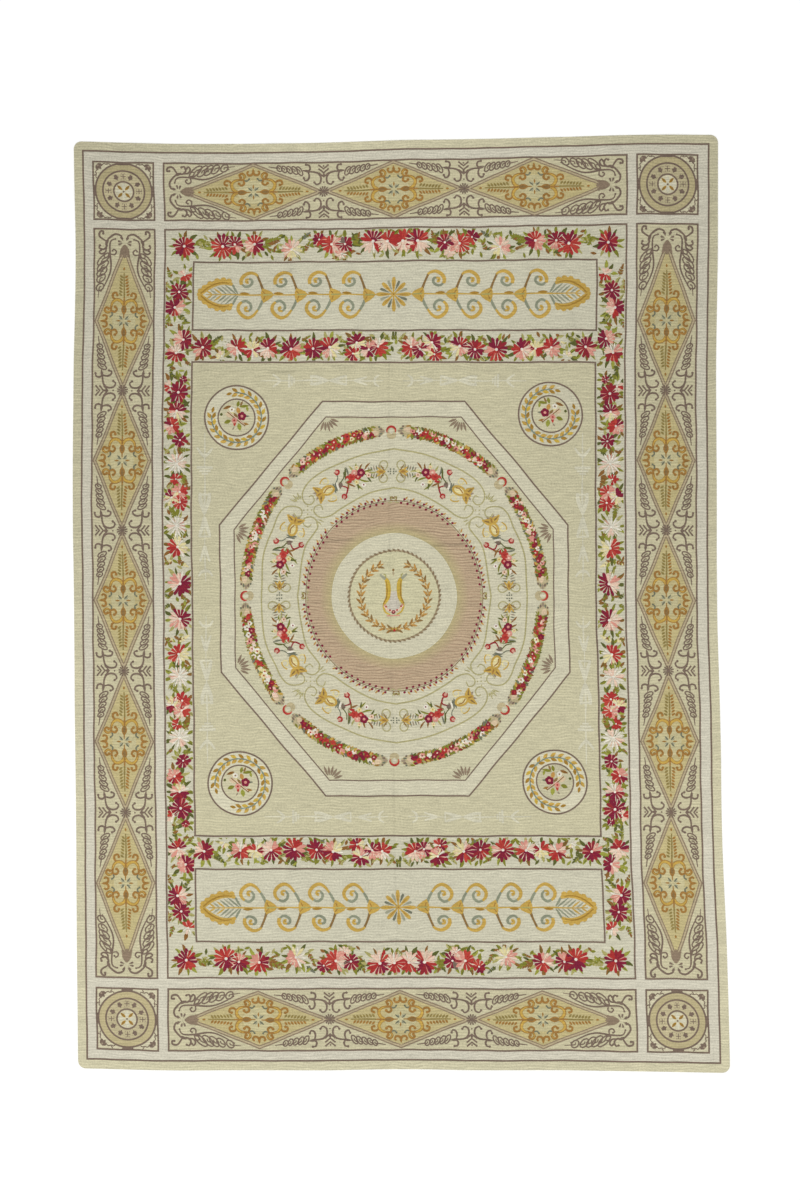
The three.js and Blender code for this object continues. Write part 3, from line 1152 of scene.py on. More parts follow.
def junction(pen):
    """Between two lozenges: a star, chevrons at both sides, and in each quarter a scroll with its loops."""
    star(pen, 12, 3, 17, 4.6, "taupe", 3, turn=15)
    dot(pen, 0, 6, "taupe", 4)
    for side in (90, 270):
        q = pen.at(degrees=side)
        dot(q, 29, 2.6, "taupe")
        dot(q, 80, 2.8, "taupe")
        chevrons(q, (46, 59, 71), 16, 5.2, "taupe")
        lens(q, 47, 60, 7, "taupe")
    for quarter in range(4):
        q = pen.at(degrees=180 * (quarter // 2), mirrored=quarter % 2 == 1)
        drawn_curl(q, [(47, 62), (33, 62), (17, 57), (9, 44), (11, 28), (22, 22), (29, 29)], 5.2)
        drawn_curl(q, [(48, 61), (45, 48), (49, 37), (58, 34), (62, 42)], 5.2)
        drawn_curl(q, [(48, 62), (42, 72), (45, 82), (54, 84)], 5.2)
        lens(q, 38 + 62j, 66 + 66j, 8, "taupe", 2)
        spine = smooth_path([(66, 62), (92, 66), (120, 70), (146, 75)], 12)
        loop_chain(q, spine, 16, 9, 5, 52, 4.2, "taupe", 1)
        q.stroke(line(142 + 75j, 170 + 79j), [4, 2.4], "taupe", 1)


def panel_end(pen):
    """Past the outermost lozenge, whose tip is at the pen's origin. The pen's x looks into the lozenge."""
    lens(pen, -2, 32, 29, "pale line", 4, shape=(0.16, 0.55, 0.84, 0.98, 1.0, 0.98))
    lens(pen, 28, 42, 9, "pale line", 5)
    for mirror in pen.both():
        lens(mirror, 26 + 9j, 39 + 15j, 9, "pale line", 6)
        for start, end in ((-6 + 7j, -1 + 20j), (-10 + 9j, -13 + 21j), (-15 + 5j, -27 + 12j)):
            lens(mirror, start, end, 6, "taupe", 2, shape=DROP)
        drawn_curl(mirror, [(-11, 57), (-24, 45), (-35, 28), (-31, 12), (-22, 8)], 5.4)
        drawn_curl(mirror, [(-12, 58), (-26, 77), (-41, 76), (-43, 66), (-36, 66)], 5.4)
        drawn_curl(mirror, [(-12, 57), (5, 56), (15, 66), (10, 79), (2, 77)], 5.2)
        drawn_curl(mirror, [(4, 57), (22, 59), (29, 71), (23, 79), (18, 74)], 4.8)
        drawn_curl(mirror, [(24, 48), (38, 52), (41, 62), (33, 63)], 3.8)
        lens(mirror, -18 + 51j, 2 + 60j, 9, "taupe", 2)
        branch = smooth_path([
            (-19, 29), (-14, 41), (0, 46), (32, 45), (66, 41), (93, 45), (122, 58), (150, 74),
        ])
        mirror.stroke(branch, [3.6, 4.6, 5.6, 4.6, 3], "taupe", 1)
        dot(mirror, -19 + 29j, 3.2, "taupe")
        drawn_curl(mirror, [(30, 45), (31, 31), (21, 26), (14, 34), (19, 38)], 4.2)
        spine = smooth_path([(36, 64), (70, 67), (104, 72), (148, 78)], 14)
        loop_chain(mirror, spine, 27, 12, 5, 40, 4.2, "taupe", 2)
        mirror.stroke(line(138 + 79j, 168 + 82j), [3, 2], "taupe", 1)


# %% The panels of lozenges
def lozenge_panel(pen, centres, first_reach, last_reach):
    """A row of lozenges along the pen's x axis. The outermost two reach a little further out."""
    reach = LOZENGE_PITCH / 2
    for x in centres:
        before = first_reach if x == centres[0] else reach
        after = last_reach if x == centres[-1] else reach
        lozenge_outline(pen.at(x), before, after)
        lozenge_ornament(pen.at(x))
    for a, b in zip(centres, centres[1:]):
        junction(pen.at((a + b) / 2))
    panel_end(pen.at(centres[0] - first_reach))
    panel_end(pen.at(centres[-1] + last_reach, degrees=180))


for name, box in (("top_panel", END_BOXES["top"]), ("bottom_panel", END_BOXES["bottom"])):
    shapes = []
    lozenge_panel(Pen(shapes).at(0, box_middle(box)[1]), END_PANEL_CENTRES, 224, 232)
    weave(name, shapes)
for name, box in (("left_panel", SIDE_BOXES["left"]), ("right_panel", SIDE_BOXES["right"])):
    shapes = []
    lozenge_panel(Pen(shapes).at(box_middle(box)[0], 0, 90), SIDE_PANEL_CENTRES[::-1], 248, 242)
    weave(name, shapes)


# %% [markdown]
# Bands of flowers run inside the frame. Every flower is a ring of separate woven petals, each narrow at the
# heart and broad at its end, round a white heart. Many are half of one colour and half of another, which
# is how such flowers were shaded with few yarns. The weaver mirrored the bands from the middle of each
# side, so half of a side is listed and both halves are woven from it, with small differences by hand.

# %% Flowers and leaves
PETAL = (0.22, 0.6, 0.95, 1.0, 0.42)
SECOND_YARN = {
    "crimson": "dark red",
    "dark red": "crimson",
    "red": "coral",
    "coral": "red",
    "pink": "blush",
    "blush": "white",
    "white": "blush",
    "lemon": "white",
    "slate": "crimson",
    "taupe": "crimson",
    "ground": "ground",
}
# Petals of pale yarns are narrower.
PETAL_SHARE = {"white": 0.46, "blush": 0.76, "lemon": 0.8, "pink": 0.96}


def flower(pen, radius, yarns, chooser, layer=6):
    """A flower whose yarns are spread round it to the left, from the pen's x axis."""
    count = max(8, round(radius / 2.5))
    turn = chooser.uniform(0, 360 / count)
    for k in range(count):
        angle = turn + 360 * k / count
        place = (angle / 360 * len(yarns) + 0.5) % len(yarns)
        name = yarns[int(place)]
        if chooser.random() < 0.22:
            name = SECOND_YARN.get(name, name)
        if name == "ground":
            continue
        long = radius * chooser.uniform(0.82, 1.12)
        wide = 5.1 * radius / count * chooser.uniform(0.78, 1.0) * PETAL_SHARE.get(name, 1.0)
        petal = pen.at(degrees=angle)
        lens(petal, 0.12 * radius, long, wide, name, layer + k % 2, PETAL, bow=chooser.uniform(-0.06, 0.06))
        if chooser.random() < 0.5:
            inner = SECOND_YARN.get(name, name)
            lens(petal, 0.3 * radius, 0.72 * long, 0.24 * wide, inner, layer + 2, LENS)
        if chooser.random() < 0.6 and radius > 12:
            slit = pen.at(degrees=angle + 180 / count)
            between = chooser.choice(("octagon cream", "octagon cream", "blush", "pink"))
            lens(slit, 0.3 * radius, radius * chooser.uniform(0.8, 1.05), 2.6, between, layer + 2, DROP)
    dot(pen, 0, 0.13 * radius, "white", layer + 3, sides=8)


def leaves(pen, radius, yarns, chooser, count, layer=0):
    """Leaves that show from behind a flower."""
    turn = chooser.uniform(0, 360)
    for k in range(count):
        leaf = pen.at(degrees=turn + 360 * (k + chooser.uniform(-0.25, 0.25)) / count)
        long = chooser.uniform(18, 28)
        wide = long * chooser.uniform(0.36, 0.52)
        name = chooser.choice(yarns)
        bow = chooser.uniform(-0.12, 0.12)
        lens(leaf, 0.7 * radius, radius + long - 7, wide, name, layer + k % 2, BLADE[::-1], bow=bow)
        if chooser.random() < 0.5:
            lens(leaf, radius - 2, radius + long - 11, 0.22 * wide, "dark leaf", layer + 2, LENS)


def fern(pen, length, yarns, chooser, layer=3):
    """A small spray along the pen's x axis, with leaflets in pairs."""
    pen.stroke(line(0, length), [2.6, 1.6], yarns[0], layer)
    pairs = max(3, round(length / 9))
    for k in range(pairs):
        x = length * (k + 0.4) / pairs
        reach = length * 0.26 * (1.15 - 0.5 * k / pairs)
        for side in (-1, 1):
            tip = complex(x + reach * 1.1, side * reach * chooser.uniform(0.8, 1.1))
            lens(pen, complex(x, 0), tip, 0.4 * reach + 3, chooser.choice(yarns), layer + 1, LENS)
    lens(pen, length - 2, length + 13, 6.5, yarns[-1], layer + 1)


# %% [markdown]
# The lists give, for each flower of half a side, its distance from the middle of the side, its offset from
# the middle of the band, its radius and its yarns. The yarns go round the flower, starting from the side
# that looks to the middle of the band's length, and then over the side that the offset counts to.

# %% The flowers of half a side
GREENS = ("leaf", "bright leaf", "leaf", "pale leaf", "dark leaf", "brown leaf")
# Columns: distance, offset, radius, yarns.
END_FLOWERS = [
    (660, 0, 35, "crimson red crimson dark_red crimson red"),
    (541, -3, 38, "crimson crimson crimson coral coral coral"),
    (502, 8, 30, "dark_red crimson dark_red dark_red red pink"),
    (437, 7, 33, "crimson red red pink pink dark_red"),
    (326, -10, 33, "lemon blush pink pink pink lemon lemon"),
    (238, 20, 23, "red crimson crimson coral"),
    (199, 2, 34, "pink pink coral red coral coral pink"),
    (170, -25, 19, "blush pink blush"),
    (156, 4, 28, "crimson dark_red taupe crimson crimson"),
    (68, 10, 39, "crimson crimson crimson red blush blush red"),
    (23, 11, 35, "red red coral blush blush blush"),
]
INNER_FLOWERS = [
    (600, -4, 33, "dark_red crimson dark_red pink dark_red"),
    (538, -30, 18, "ground lemon white lemon ground ground"),
    (524, 6, 9, "white lemon white"),
    (490, -6, 30, "red red dark_red pink pink blush"),
    (442, -8, 28, "dark_red lemon lemon red lemon"),
    (396, -8, 33, "red crimson crimson blush blush pink"),
    (321, -9, 36, "pink crimson crimson crimson red coral"),
    (251, -8, 32, "crimson dark_red red crimson crimson"),
    (201, -2, 34, "lemon crimson red crimson pink lemon"),
    (119, 12, 30, "lemon crimson crimson crimson lemon pink"),
    (128, -24, 24, "lemon red dark_red red dark_red red"),
    (80, -8, 28, "crimson pink crimson blush crimson"),
    (50, -2, 30, "red blush pink dark_red red"),
]
SIDE_FLOWERS = [
    (1018, 20, 24, "red red coral ground blush blush ground coral"),
    (967, 0, 31, "crimson crimson crimson dark_red crimson"),
    (915, -10, 35, "red blush pink crimson crimson crimson"),
    (816, 14, 33, "crimson crimson crimson pink pink"),
    (771, -8, 33, "red dark_red blush blush pink dark_red"),
    (690, 16, 14, "crimson crimson"),
    (668, -22, 24, "blush ground ground blush coral"),
    (647, 2, 36, "crimson dark_red crimson crimson"),
    (592, 1, 31, "lemon blush crimson crimson dark_red pink"),
    (543, -16, 29, "pink red coral dark_red pink"),
    (499, 10, 25, "crimson crimson crimson"),
    (427, 0, 36, "white white"),
    (382, -6, 20, "red ground coral red red"),
    (340, 8, 29, "pink coral pink"),
    (307, 10, 28, "red coral red"),
    (323, -17, 27, "lemon lemon lemon crimson crimson lemon"),
    (233, 0, 35, "white white"),
    (166, 2, 35, "red lemon lemon lemon coral red"),
    (56, 5, 39, "crimson crimson crimson blush pink blush"),
]
# Columns: distance, offset, heading, length, yarns.
END_SPRAYS = [
    (626, 8, 8, 34, "pale_leaf leaf"),
    (612, -6, 30, 30, "leaf pale_leaf"),
    (408, 4, 22, 46, "brown_leaf leaf"),
    (372, -18, 160, 18, "leaf brown_leaf"),
    (284, -20, 60, 26, "brown_leaf leaf"),
    (290, 20, 40, 22, "dark_leaf slate"),
    (128, 0, 68, 34, "leaf brown_leaf"),
    (112, 0, 120, 34, "leaf dark_leaf"),
    (146, -34, 200, 24, "pale_leaf leaf"),
]
INNER_SPRAYS = [
    (572, 2, 42, 34, "leaf dark_leaf"),
    (580, -22, 190, 16, "leaf brown_leaf"),
    (288, 16, 30, 20, "brown_leaf leaf"),
    (226, -32, 200, 18, "slate leaf"),
    (158, 10, 130, 22, "leaf pale_leaf"),
    (142, -34, 250, 12, "leaf pale_leaf"),
    (4, 20, 90, 16, "leaf dark_leaf"),
    (14, 18, 130, 20, "leaf pale_leaf"),
]
SIDE_SPRAYS = [
    (1010, -24, 200, 26, "leaf brown_leaf"),
    (1000, -36, 350, 26, "pale_leaf brown_leaf"),
    (893, 6, 40, 26, "leaf dark_leaf"),
    (880, -26, 330, 30, "leaf brown_leaf"),
    (866, 10, 90, 16, "leaf leaf"),
    (735, -16, 350, 26, "leaf dark_leaf"),
    (745, 22, 60, 20, "brown_leaf leaf"),
    (706, -20, 60, 16, "leaf dark_leaf"),
    (470, 8, 90, 24, "leaf leaf"),
    (458, -22, 230, 18, "brown_leaf leaf"),
    (396, 16, 20, 34, "leaf brown_leaf"),
    (284, -14, 10, 24, "leaf leaf"),
    (196, 20, 160, 16, "brown_leaf leaf"),
    (200, -14, 20, 24, "leaf dark_leaf"),
    (126, 0, 60, 28, "brown_leaf lemon"),
    (124, -14, 290, 26, "lemon brown_leaf"),
    (112, -30, 200, 16, "leaf brown_leaf"),
    (16, 8, 60, 22, "leaf brown_leaf"),
    (10, -24, 240, 22, "leaf dark_leaf"),
]


def yarn_names(text):
    return [word.replace("_", " ") for word in text.split()]


def keep_in_band(shapes, first, start, heading, half_width):
    """Cuts what has been drawn since the first shape off at the frame lines on both sides of a band."""
    way = cmath.rect(1, math.radians(heading))
    kept = shapes[:first]
    for spots, *rest in shapes[first:]:
        local = (spots - start) / way
        across = np.clip(local.imag, -half_width, half_width)
        if np.ptp(across) > 1 or np.ptp(local.imag) <= 1:
            kept.append((start + (local.real + 1j * across) * way, *rest))
    shapes[:] = kept


def stray_leaves(pen, flowers, half_width, chooser):
    """Small single leaves in the gaps between the flowers of half a band."""
    reach = max(flower[0] for flower in flowers)
    for x in np.arange(6, reach, 9.0):
        y = chooser.uniform(-0.8, 0.8) * half_width
        clear = all(math.hypot(x - f[0], y - f[1]) > f[2] + 3 for f in flowers)
        if clear:
            leaf = pen.at(-x, y, chooser.uniform(0, 360))
            name = chooser.choice(GREENS)
            lens(leaf, -9, chooser.uniform(7, 11), chooser.uniform(7, 9.5), name, 3 + chooser.randrange(3))


def flower_band(petals, greens, start, heading, mirrored, flowers, sprays, half_width, chooser):
    """Half a band. The start is the middle of the side, and the heading looks back along the half to it."""
    band = (start, heading, half_width)
    shrink = min(1, half_width / FULL_BAND)
    first_petal, first_green = len(petals), len(greens)
    for distance, offset, radius, names in flowers:
        spot = (distance + chooser.uniform(-3, 3), offset + chooser.uniform(-2, 2))
        for shapes in (petals, greens):
            pen = Pen(shapes).at(start.real, start.imag, heading, mirrored=mirrored).at(-spot[0], spot[1])
            if shapes is petals:
                flower(pen, radius * shrink, yarn_names(names), chooser)
            elif radius > 12:
                leaves(pen, radius, GREENS, chooser, count=7 if radius < 30 else 10)
    pen = Pen(greens).at(start.real, start.imag, heading, mirrored=mirrored)
    for distance, offset, way, length, names in sprays:
        fern(pen.at(-distance, offset, way), length, yarn_names(names), chooser)
    stray_leaves(pen, flowers, half_width, chooser)
    keep_in_band(petals, first_petal, *band)
    keep_in_band(greens, first_green, *band)


# %% The bands of flowers
chooser = random.Random(7)
end_middle = (FLOWER_OUT["top"] + SCROLL_TOP["top"]) / 2
low_middle = (FLOWER_OUT["bottom"] + SCROLL_BOTTOM["bottom"]) / 2
upper_middle = (SCROLL_TOP["bottom"] + FIELD["top"]) / 2
lower_middle = (FIELD["bottom"] + SCROLL_BOTTOM["top"]) / 2
left_middle = (FLOWER_OUT["left"] + FIELD["left"]) / 2
right_middle = (FLOWER_OUT["right"] + FIELD["right"]) / 2
LINE_CLEARANCE = 4
END_BAND = (FLOWER_OUT["top"] - SCROLL_TOP["top"]) / 2 - LINE_CLEARANCE
INNER_BAND = (SCROLL_TOP["bottom"] - FIELD["top"]) / 2 - LINE_CLEARANCE
SIDE_BAND = (FIELD["left"] - FLOWER_OUT["left"]) / 2 - LINE_CLEARANCE
FULL_BAND = 43.5
SIDE_BAND_MIDDLE = 12


def end_halves(upper_y, lower_y, *lists):
    """Both halves of an upper band across the rug, and of the lower band that mirrors it."""
    return [
        (complex(MIDDLE[0], y), heading, (heading == 180) != (y == lower_y), *lists)
        for y in (upper_y, lower_y)
        for heading in (0, 180)
    ]


def side_halves(x, mirrored, *lists):
    """Both halves of a band along a side."""
    return [
        (complex(x, SIDE_BAND_MIDDLE), heading, mirrored != (heading == 90), *lists)
        for heading in (270, 90)
    ]


HALF_BANDS = {
    "end_flowers": end_halves(end_middle, low_middle, END_FLOWERS, END_SPRAYS, END_BAND),
    "inner_flowers": end_halves(upper_middle, lower_middle, INNER_FLOWERS, INNER_SPRAYS, INNER_BAND),
    "left_flowers": side_halves(left_middle, False, SIDE_FLOWERS, SIDE_SPRAYS, SIDE_BAND),
    "right_flowers": side_halves(right_middle, True, SIDE_FLOWERS, SIDE_SPRAYS, SIDE_BAND),
}
greens = []
for name, halves in HALF_BANDS.items():
    petals = []
    for half in halves:
        flower_band(petals, greens, *half, chooser)
    weave(name, petals)
weave("flower_leaves", greens)

# %% [markdown]
# Two panels hold rows of gold scrolls on a cream ground, with a rosette in the middle and a big leaf at
# either end. One scroll is a calyx with a pair of volutes that curl away from the middle: the upper one
# starts brown, the lower one slate, and both turn gold on the outside and slate again inside.

# %% Scroll panels
SCROLL_STEPS = (89, 195, 302, 407)
SCROLL_LEAF = (490, 612)
VEINS = 6


def volutes(pen):
    """A calyx at the pen's origin and two volutes behind it. The pen's x looks to the rosette."""
    stem = smooth_path([(0, 14), (-8, 38), (-18, 62)])
    pen.stroke(stem, [8.5, 6.5, 7], "bronze", 2)
    over = smooth_path([(-16, 61), (-26, 68), (-42, 71), (-59, 62), (-68, 47), (-67, 33)])
    pen.stroke(over, [6.5, 9, 11, 11.5, 10], "gold", 3)
    inside = smooth_path([(-66, 35), (-56, 27), (-43, 29), (-34, 38), (-36, 49), (-46, 51)])
    pen.stroke(inside, [6, 8, 8.4, 6], "scroll slate", 2)
    pen.stroke(smooth_path([(-43, 51), (-52, 49), (-51, 41), (-45, 41)]), [6, 9], "gold", 4)
    pen.stroke(smooth_path([(-1, -12), (-8, -32), (-18, -50)]), [6, 8.5, 6.5], "scroll slate", 2)
    under = smooth_path([(-17, -48), (-30, -65), (-47, -73), (-64, -66), (-77, -50), (-76, -34), (-67, -23)])
    pen.stroke(under, [6.5, 9, 11, 11, 10, 7.5], "gold", 3)
    inside = smooth_path([(-68, -24), (-54, -19), (-41, -28), (-38, -42), (-46, -52)])
    pen.stroke(inside, [7, 8, 8, 6], "scroll slate", 2)
    pen.stroke(smooth_path([(-45, -52), (-55, -50), (-56, -42), (-49, -40)]), [6, 9], "gold", 4)
    pen.fill([33 + 0j, 26 + 9j, 14 + 15j, -2 + 21j, -7 + 8j, -7 - 8j, 0 - 26j, 14 - 18j, 26 - 9j], "gold", 4)
    pen.stroke(line(28, 0), [3, 6], "pale leaf", 5)
    pen.stroke(line(6 + 3j, -2 + 12j), 2.4, "ochre", 6)
    pen.stroke(line(6 - 4j, 1 - 16j), 2.4, "ochre", 6)
    pen.stroke(line(0, -76), [5.2, 4, 4], "gold", 1)
    lens(pen, -72 + 5j, -42 + 4j, 8.5, "deep gold", 2)


def rosette(pen):
    for k in range(8):
        ray = pen.at(degrees=45 * k)
        long = 54 if k % 2 == 0 else 50
        lens(ray, 6, long, 12.5, "gold", 3, shape=(0.3, 0.45, 0.65, 0.85, 1.0, 0.9, 0.55))
        lens(ray, 16, 0.8 * long, 2.4, "ochre", 4)
        between = pen.at(degrees=45 * k + 22.5)
        lens(between, 15, 45, 8, "slate" if k % 2 else "pale slate", 2, shape=DROP)
    dot(pen, 0, 7, "gold", 5)
    dot(pen, 0, 3, "ochre", 6)


def big_leaf(pen):
    """A leaf with a scalloped gold rim and slate veins. It points along the pen's x axis, from x = 0."""
    length = SCROLL_LEAF[1] - SCROLL_LEAF[0]
    for mirror in pen.both():
        edge = smooth_path([(12, 32), (34, 40), (60, 38), (88, 25), (108, 8), (120, -2)], 8)
        mirror.stroke(edge, [9, 16, 19, 19, 18, 15, 11], "gold", 3)
        mirror.stroke(edge[4:-6] - 2j, [2, 4.4, 5, 4], "deep gold", 4)
        for k in range(6):
            spot = edge[4 + 6 * k]
            dot(mirror, spot + 6j, 9.5, "gold", 2)
        for k in range(VEINS):
            x = 6 + 15 * k
            reach = 33 - 4 * k
            name = ("scroll slate", "pale slate", "scroll slate", "gold", "pale slate", "gold")[k]
            tip = complex(x + 0.95 * reach, reach)
            lens(mirror, complex(x - 6, 1), tip, 5.4, name, 1)
        mirror.stroke(smooth_path([(-4, 4), (4, 16), (12, 32)]), [3, 7, 6], "scroll slate", 2)
    pen.stroke(line(-8, length - 28), [4.4, 3.4, 2.6], "gold", 2)


scrolls = []
for box, stem, upright in ((SCROLL_TOP, 968, True), (SCROLL_BOTTOM, -941, False)):
    for side in (-1, 1):
        middle = Pen(scrolls).at(MIDDLE[0] - 4, stem, 0 if side < 0 else 180, mirrored=(side > 0) == upright)
        for step in SCROLL_STEPS:
            volutes(middle.at(-step))
        middle.stroke(line(-50, -62), [3, 4], "gold", 1)
        middle.stroke(line(-SCROLL_STEPS[-1], -SCROLL_LEAF[0]), [4, 5], "gold", 1)
        big_leaf(middle.at(-SCROLL_LEAF[0], 0, 180))
    rosette(Pen(scrolls).at(MIDDLE[0] - 4, stem))
weave("scrolls", scrolls)


# %% [markdown]
# The middle of the field is an octagon with a medallion inside. From the outside in it has small fans in the
# octagon's corners, a garland of roses cut into eight by rings and cuffs, four olive cartouches with horns
# of plenty, a ring of berries round a brown disc, and a rope, a laurel wreath and a lyre on cream.

# %% Medallion sizes
GARLAND_NODES = (0, 43.5, 90.8, 136.5, 180, 223.5, 269.2, 316.5)
GARLAND_WIDTH = 33
BERRIES = (274.5, 295)
WREATH_RADIUS = 104


def oval_path(half, step=8.0):
    """A closed oval round the rings' middle, with places evenly spaced along it."""
    t = np.linspace(0, math.tau, 721)
    fine = half[0] * np.cos(t) + 1j * half[1] * np.sin(t)
    run = np.concatenate([[0], np.cumsum(np.abs(np.diff(fine)))])
    count = round(run[-1] / step)
    angles = np.interp(np.linspace(0, run[-1], count, endpoint=False), run, t)
    return half[0] * np.cos(angles) + 1j * half[1] * np.sin(angles)


def oval_length(half, start, end):
    """The length along an oval from one drawing angle to another, in degrees."""
    t = np.radians(np.linspace(start, end, 181))
    return np.abs(np.diff(half[0] * np.cos(t) + 1j * half[1] * np.sin(t))).sum()


def on_oval(half, degrees):
    """A place on an oval and the heading of its tangent there, which turns to the left."""
    t = math.radians(degrees)
    spot = complex(half[0] * math.cos(t), half[1] * math.sin(t))
    heading = math.degrees(math.atan2(half[1] * math.cos(t), -half[0] * math.sin(t)))
    return spot, heading


def quadrants(pen):
    """Four pens, one for each quarter, mirrored so that their x and y point away from the middle."""
    return [
        pen.at(),
        pen.at(degrees=180, mirrored=True),
        pen.at(degrees=180),
        pen.at(mirrored=True),
    ]


# %% Octagon fans, olive cartouches and pale ornaments
olive_work = []
octagon_pen = Pen(olive_work).at(*MIDDLE)
flat_top = OCTAGON_IN["slant_x"] * (1 - OCTAGON_IN["half_height"] / OCTAGON_IN["slant_y"])
flat_side = OCTAGON_IN["slant_y"] * (1 - OCTAGON_IN["half_width"] / OCTAGON_IN["slant_x"])
for quarter in quadrants(octagon_pen):
    for x, y, way in (
        (flat_top, OCTAGON_IN["half_height"], 245),
        (OCTAGON_IN["half_width"], flat_side, 200),
    ):
        for k in range(6):
            ray = quarter.at(x, y, way - 45 + 18 * k)
            lens(ray, 16, 43 + 4 * (k % 2), 7.6, "pale line", 1)

CARTOUCHE_LINES = (
    [(0, 456), (88, 441), (189, 402), (249, 365), (276, 335), (283, 308),
     (273, 287), (256, 284), (246, 297), (253, 311), (263, 307)],
    [(0, 335), (71, 321), (155, 277), (195, 250), (226, 243), (246, 260), (242, 277), (226, 281), (219, 267)],
    [(413, 0), (408, 109), (394, 166), (374, 210), (357, 250), (334, 274),
     (303, 277), (285, 267), (286, 250), (300, 245), (309, 257)],
    [(300, 0), (286, 109), (273, 159), (249, 193), (236, 213), (239, 233),
     (256, 245), (276, 240), (280, 223), (266, 213), (256, 222)],
)
for quarter in quadrants(Pen(olive_work).at(*RINGS)):
    for places in CARTOUCHE_LINES:
        quarter.stroke(smooth_path(places, 6), [4.4, 4.2, 3.8, 3.2], "olive", 1)
    for spot in (266 + 278j, 278 + 266j, 266 + 254j, 254 + 266j, 266 + 266j):
        dot(quarter, spot, 2.4, "olive", 1)
    for way in (20, 45, 70):
        outward = quarter.at(286, 286, way)
        lens(outward, 16, 38, 4.2, "olive", 1)
        lens(outward.at(degrees=12), 14, 28, 3.4, "pale leaf", 1)
        inward = quarter.at(244, 240, way + 180)
        lens(inward, 12, 30, 3.8, "olive", 1)


def pale_ornament(pen):
    """Half of the little candelabrum in the middle of a cartouche. The pen's x looks away from its middle."""
    for mirror in pen.both():
        mirror.stroke(sweep(24 + 5j, 150, (20, -60), (24, -110), (22, -110), (12, -80)), 3.6, "olive", 1)
        for k in range(5):
            name = "slate" if k % 2 else "pale taupe"
            lens(mirror, complex(38 + 8 * k, 4), complex(42 + 8 * k, 23 - 2 * k), 4, name, 1)
        lens(mirror, 30 + 2j, 48 + 15j, 6, "gold", 2)
        lens(mirror, 24 + 2j, 36 + 22j, 4, "bronze", 3)
    lens(pen, 20, 50, 15, "gold", 2)
    lens(pen, 26, 42, 7, "ochre", 3)
    for spot in (5, 12, 5 + 7j, 5 - 7j):
        dot(pen, spot, 2.6, "slate", 1)
    lens(pen, 72 + 3j, 88 + 2j, 8, "lemon", 2)
    lens(pen, 70 - 3j, 84 - 8j, 6, "white", 2)


for x, y, way in ((0, 386, 0), (0, 386, 180), (0, -386, 0), (0, -386, 180)):
    pale_ornament(Pen(olive_work).at(RINGS[0] - 4, RINGS[1]).at(x, y, way))
for x, y, way in ((357, -3, 90), (357, -3, 270), (-357, -3, 90), (-357, -3, 270)):
    pale_ornament(Pen(olive_work).at(*RINGS).at(x, y, way))
weave("olive_work", olive_work)


# %% [markdown]
# The horns of plenty are the richest small motifs. Each has a gold tail that splits like an anchor, a ring
# for its body, a slate mouth, and roses, tulips and long leaves that spill out of it. One is drawn along the
# pen's x axis with its body at the origin, and eight are laid into the cartouches.


# %% Horns of plenty
def rose(pen, middle, radius, outer, inner, layer=3, turn=0):
    at = pen.at(middle.real, middle.imag, turn)
    for k in range(5):
        lens(at.at(degrees=72 * k), 0.1 * radius, radius, 0.95 * radius, outer, layer + k % 2, PETAL)
    dot(at, 0, 0.34 * radius, inner, layer + 2, sides=8)


def tulip(pen, middle, size, way, yarn_name="red"):
    at = pen.at(middle.real, middle.imag, way)
    for mirror in at.both():
        side = smooth_path([(-0.5 * size, 0), (0, 0.6 * size), (0.9 * size, 0.35 * size)])
        mirror.stroke(side, [0.45 * size, 0.5 * size, 0.2 * size], yarn_name, 3)
    lens(at, -0.2 * size, 0.9 * size, 0.5 * size, "pink", 4)


# Columns: x, y, heading, length and yarn of the leaves round a horn's roses.
HORN_LEAVES = (
    (62, 4, 65, 34, "dark leaf"), (60, -2, -50, 28, "brown leaf"), (76, 10, 80, 26, "slate"),
    (84, -6, -70, 36, "leaf"), (92, -8, -100, 28, "dark leaf"), (100, -6, -40, 32, "leaf"),
    (112, 4, 50, 26, "brown leaf"), (120, 2, -10, 28, "leaf"), (124, -2, -50, 30, "leaf"),
    (96, 12, 100, 24, "pale leaf"), (70, -4, -120, 22, "brown leaf"), (130, 6, 30, 24, "brown leaf"),
    (60, 0, 10, 32, "leaf"), (88, 2, 20, 32, "brown leaf"), (108, 10, 75, 24, "leaf"),
    (128, -6, -80, 26, "dark leaf"), (136, 0, -30, 24, "pale leaf"),
)
# Columns: x, y, radius, outer yarn, inner yarn.
HORN_ROSES = (
    (84, 4, 12, "coral", "red"), (98, 13, 10, "pink", "blush"), (117, 4, 13, "crimson", "pink"),
    (103, -3, 10, "red", "pink"), (92, -16, 8, "lemon", "gold"), (108, -33, 7.5, "white", "crimson"),
    (135, -13, 7.5, "blush", "ochre"), (111, 25, 6.5, "lemon", "pink"),
)
HORN_TAIL = (0.35, 0.85, 1.0, 0.8, 0.45, 0.2)


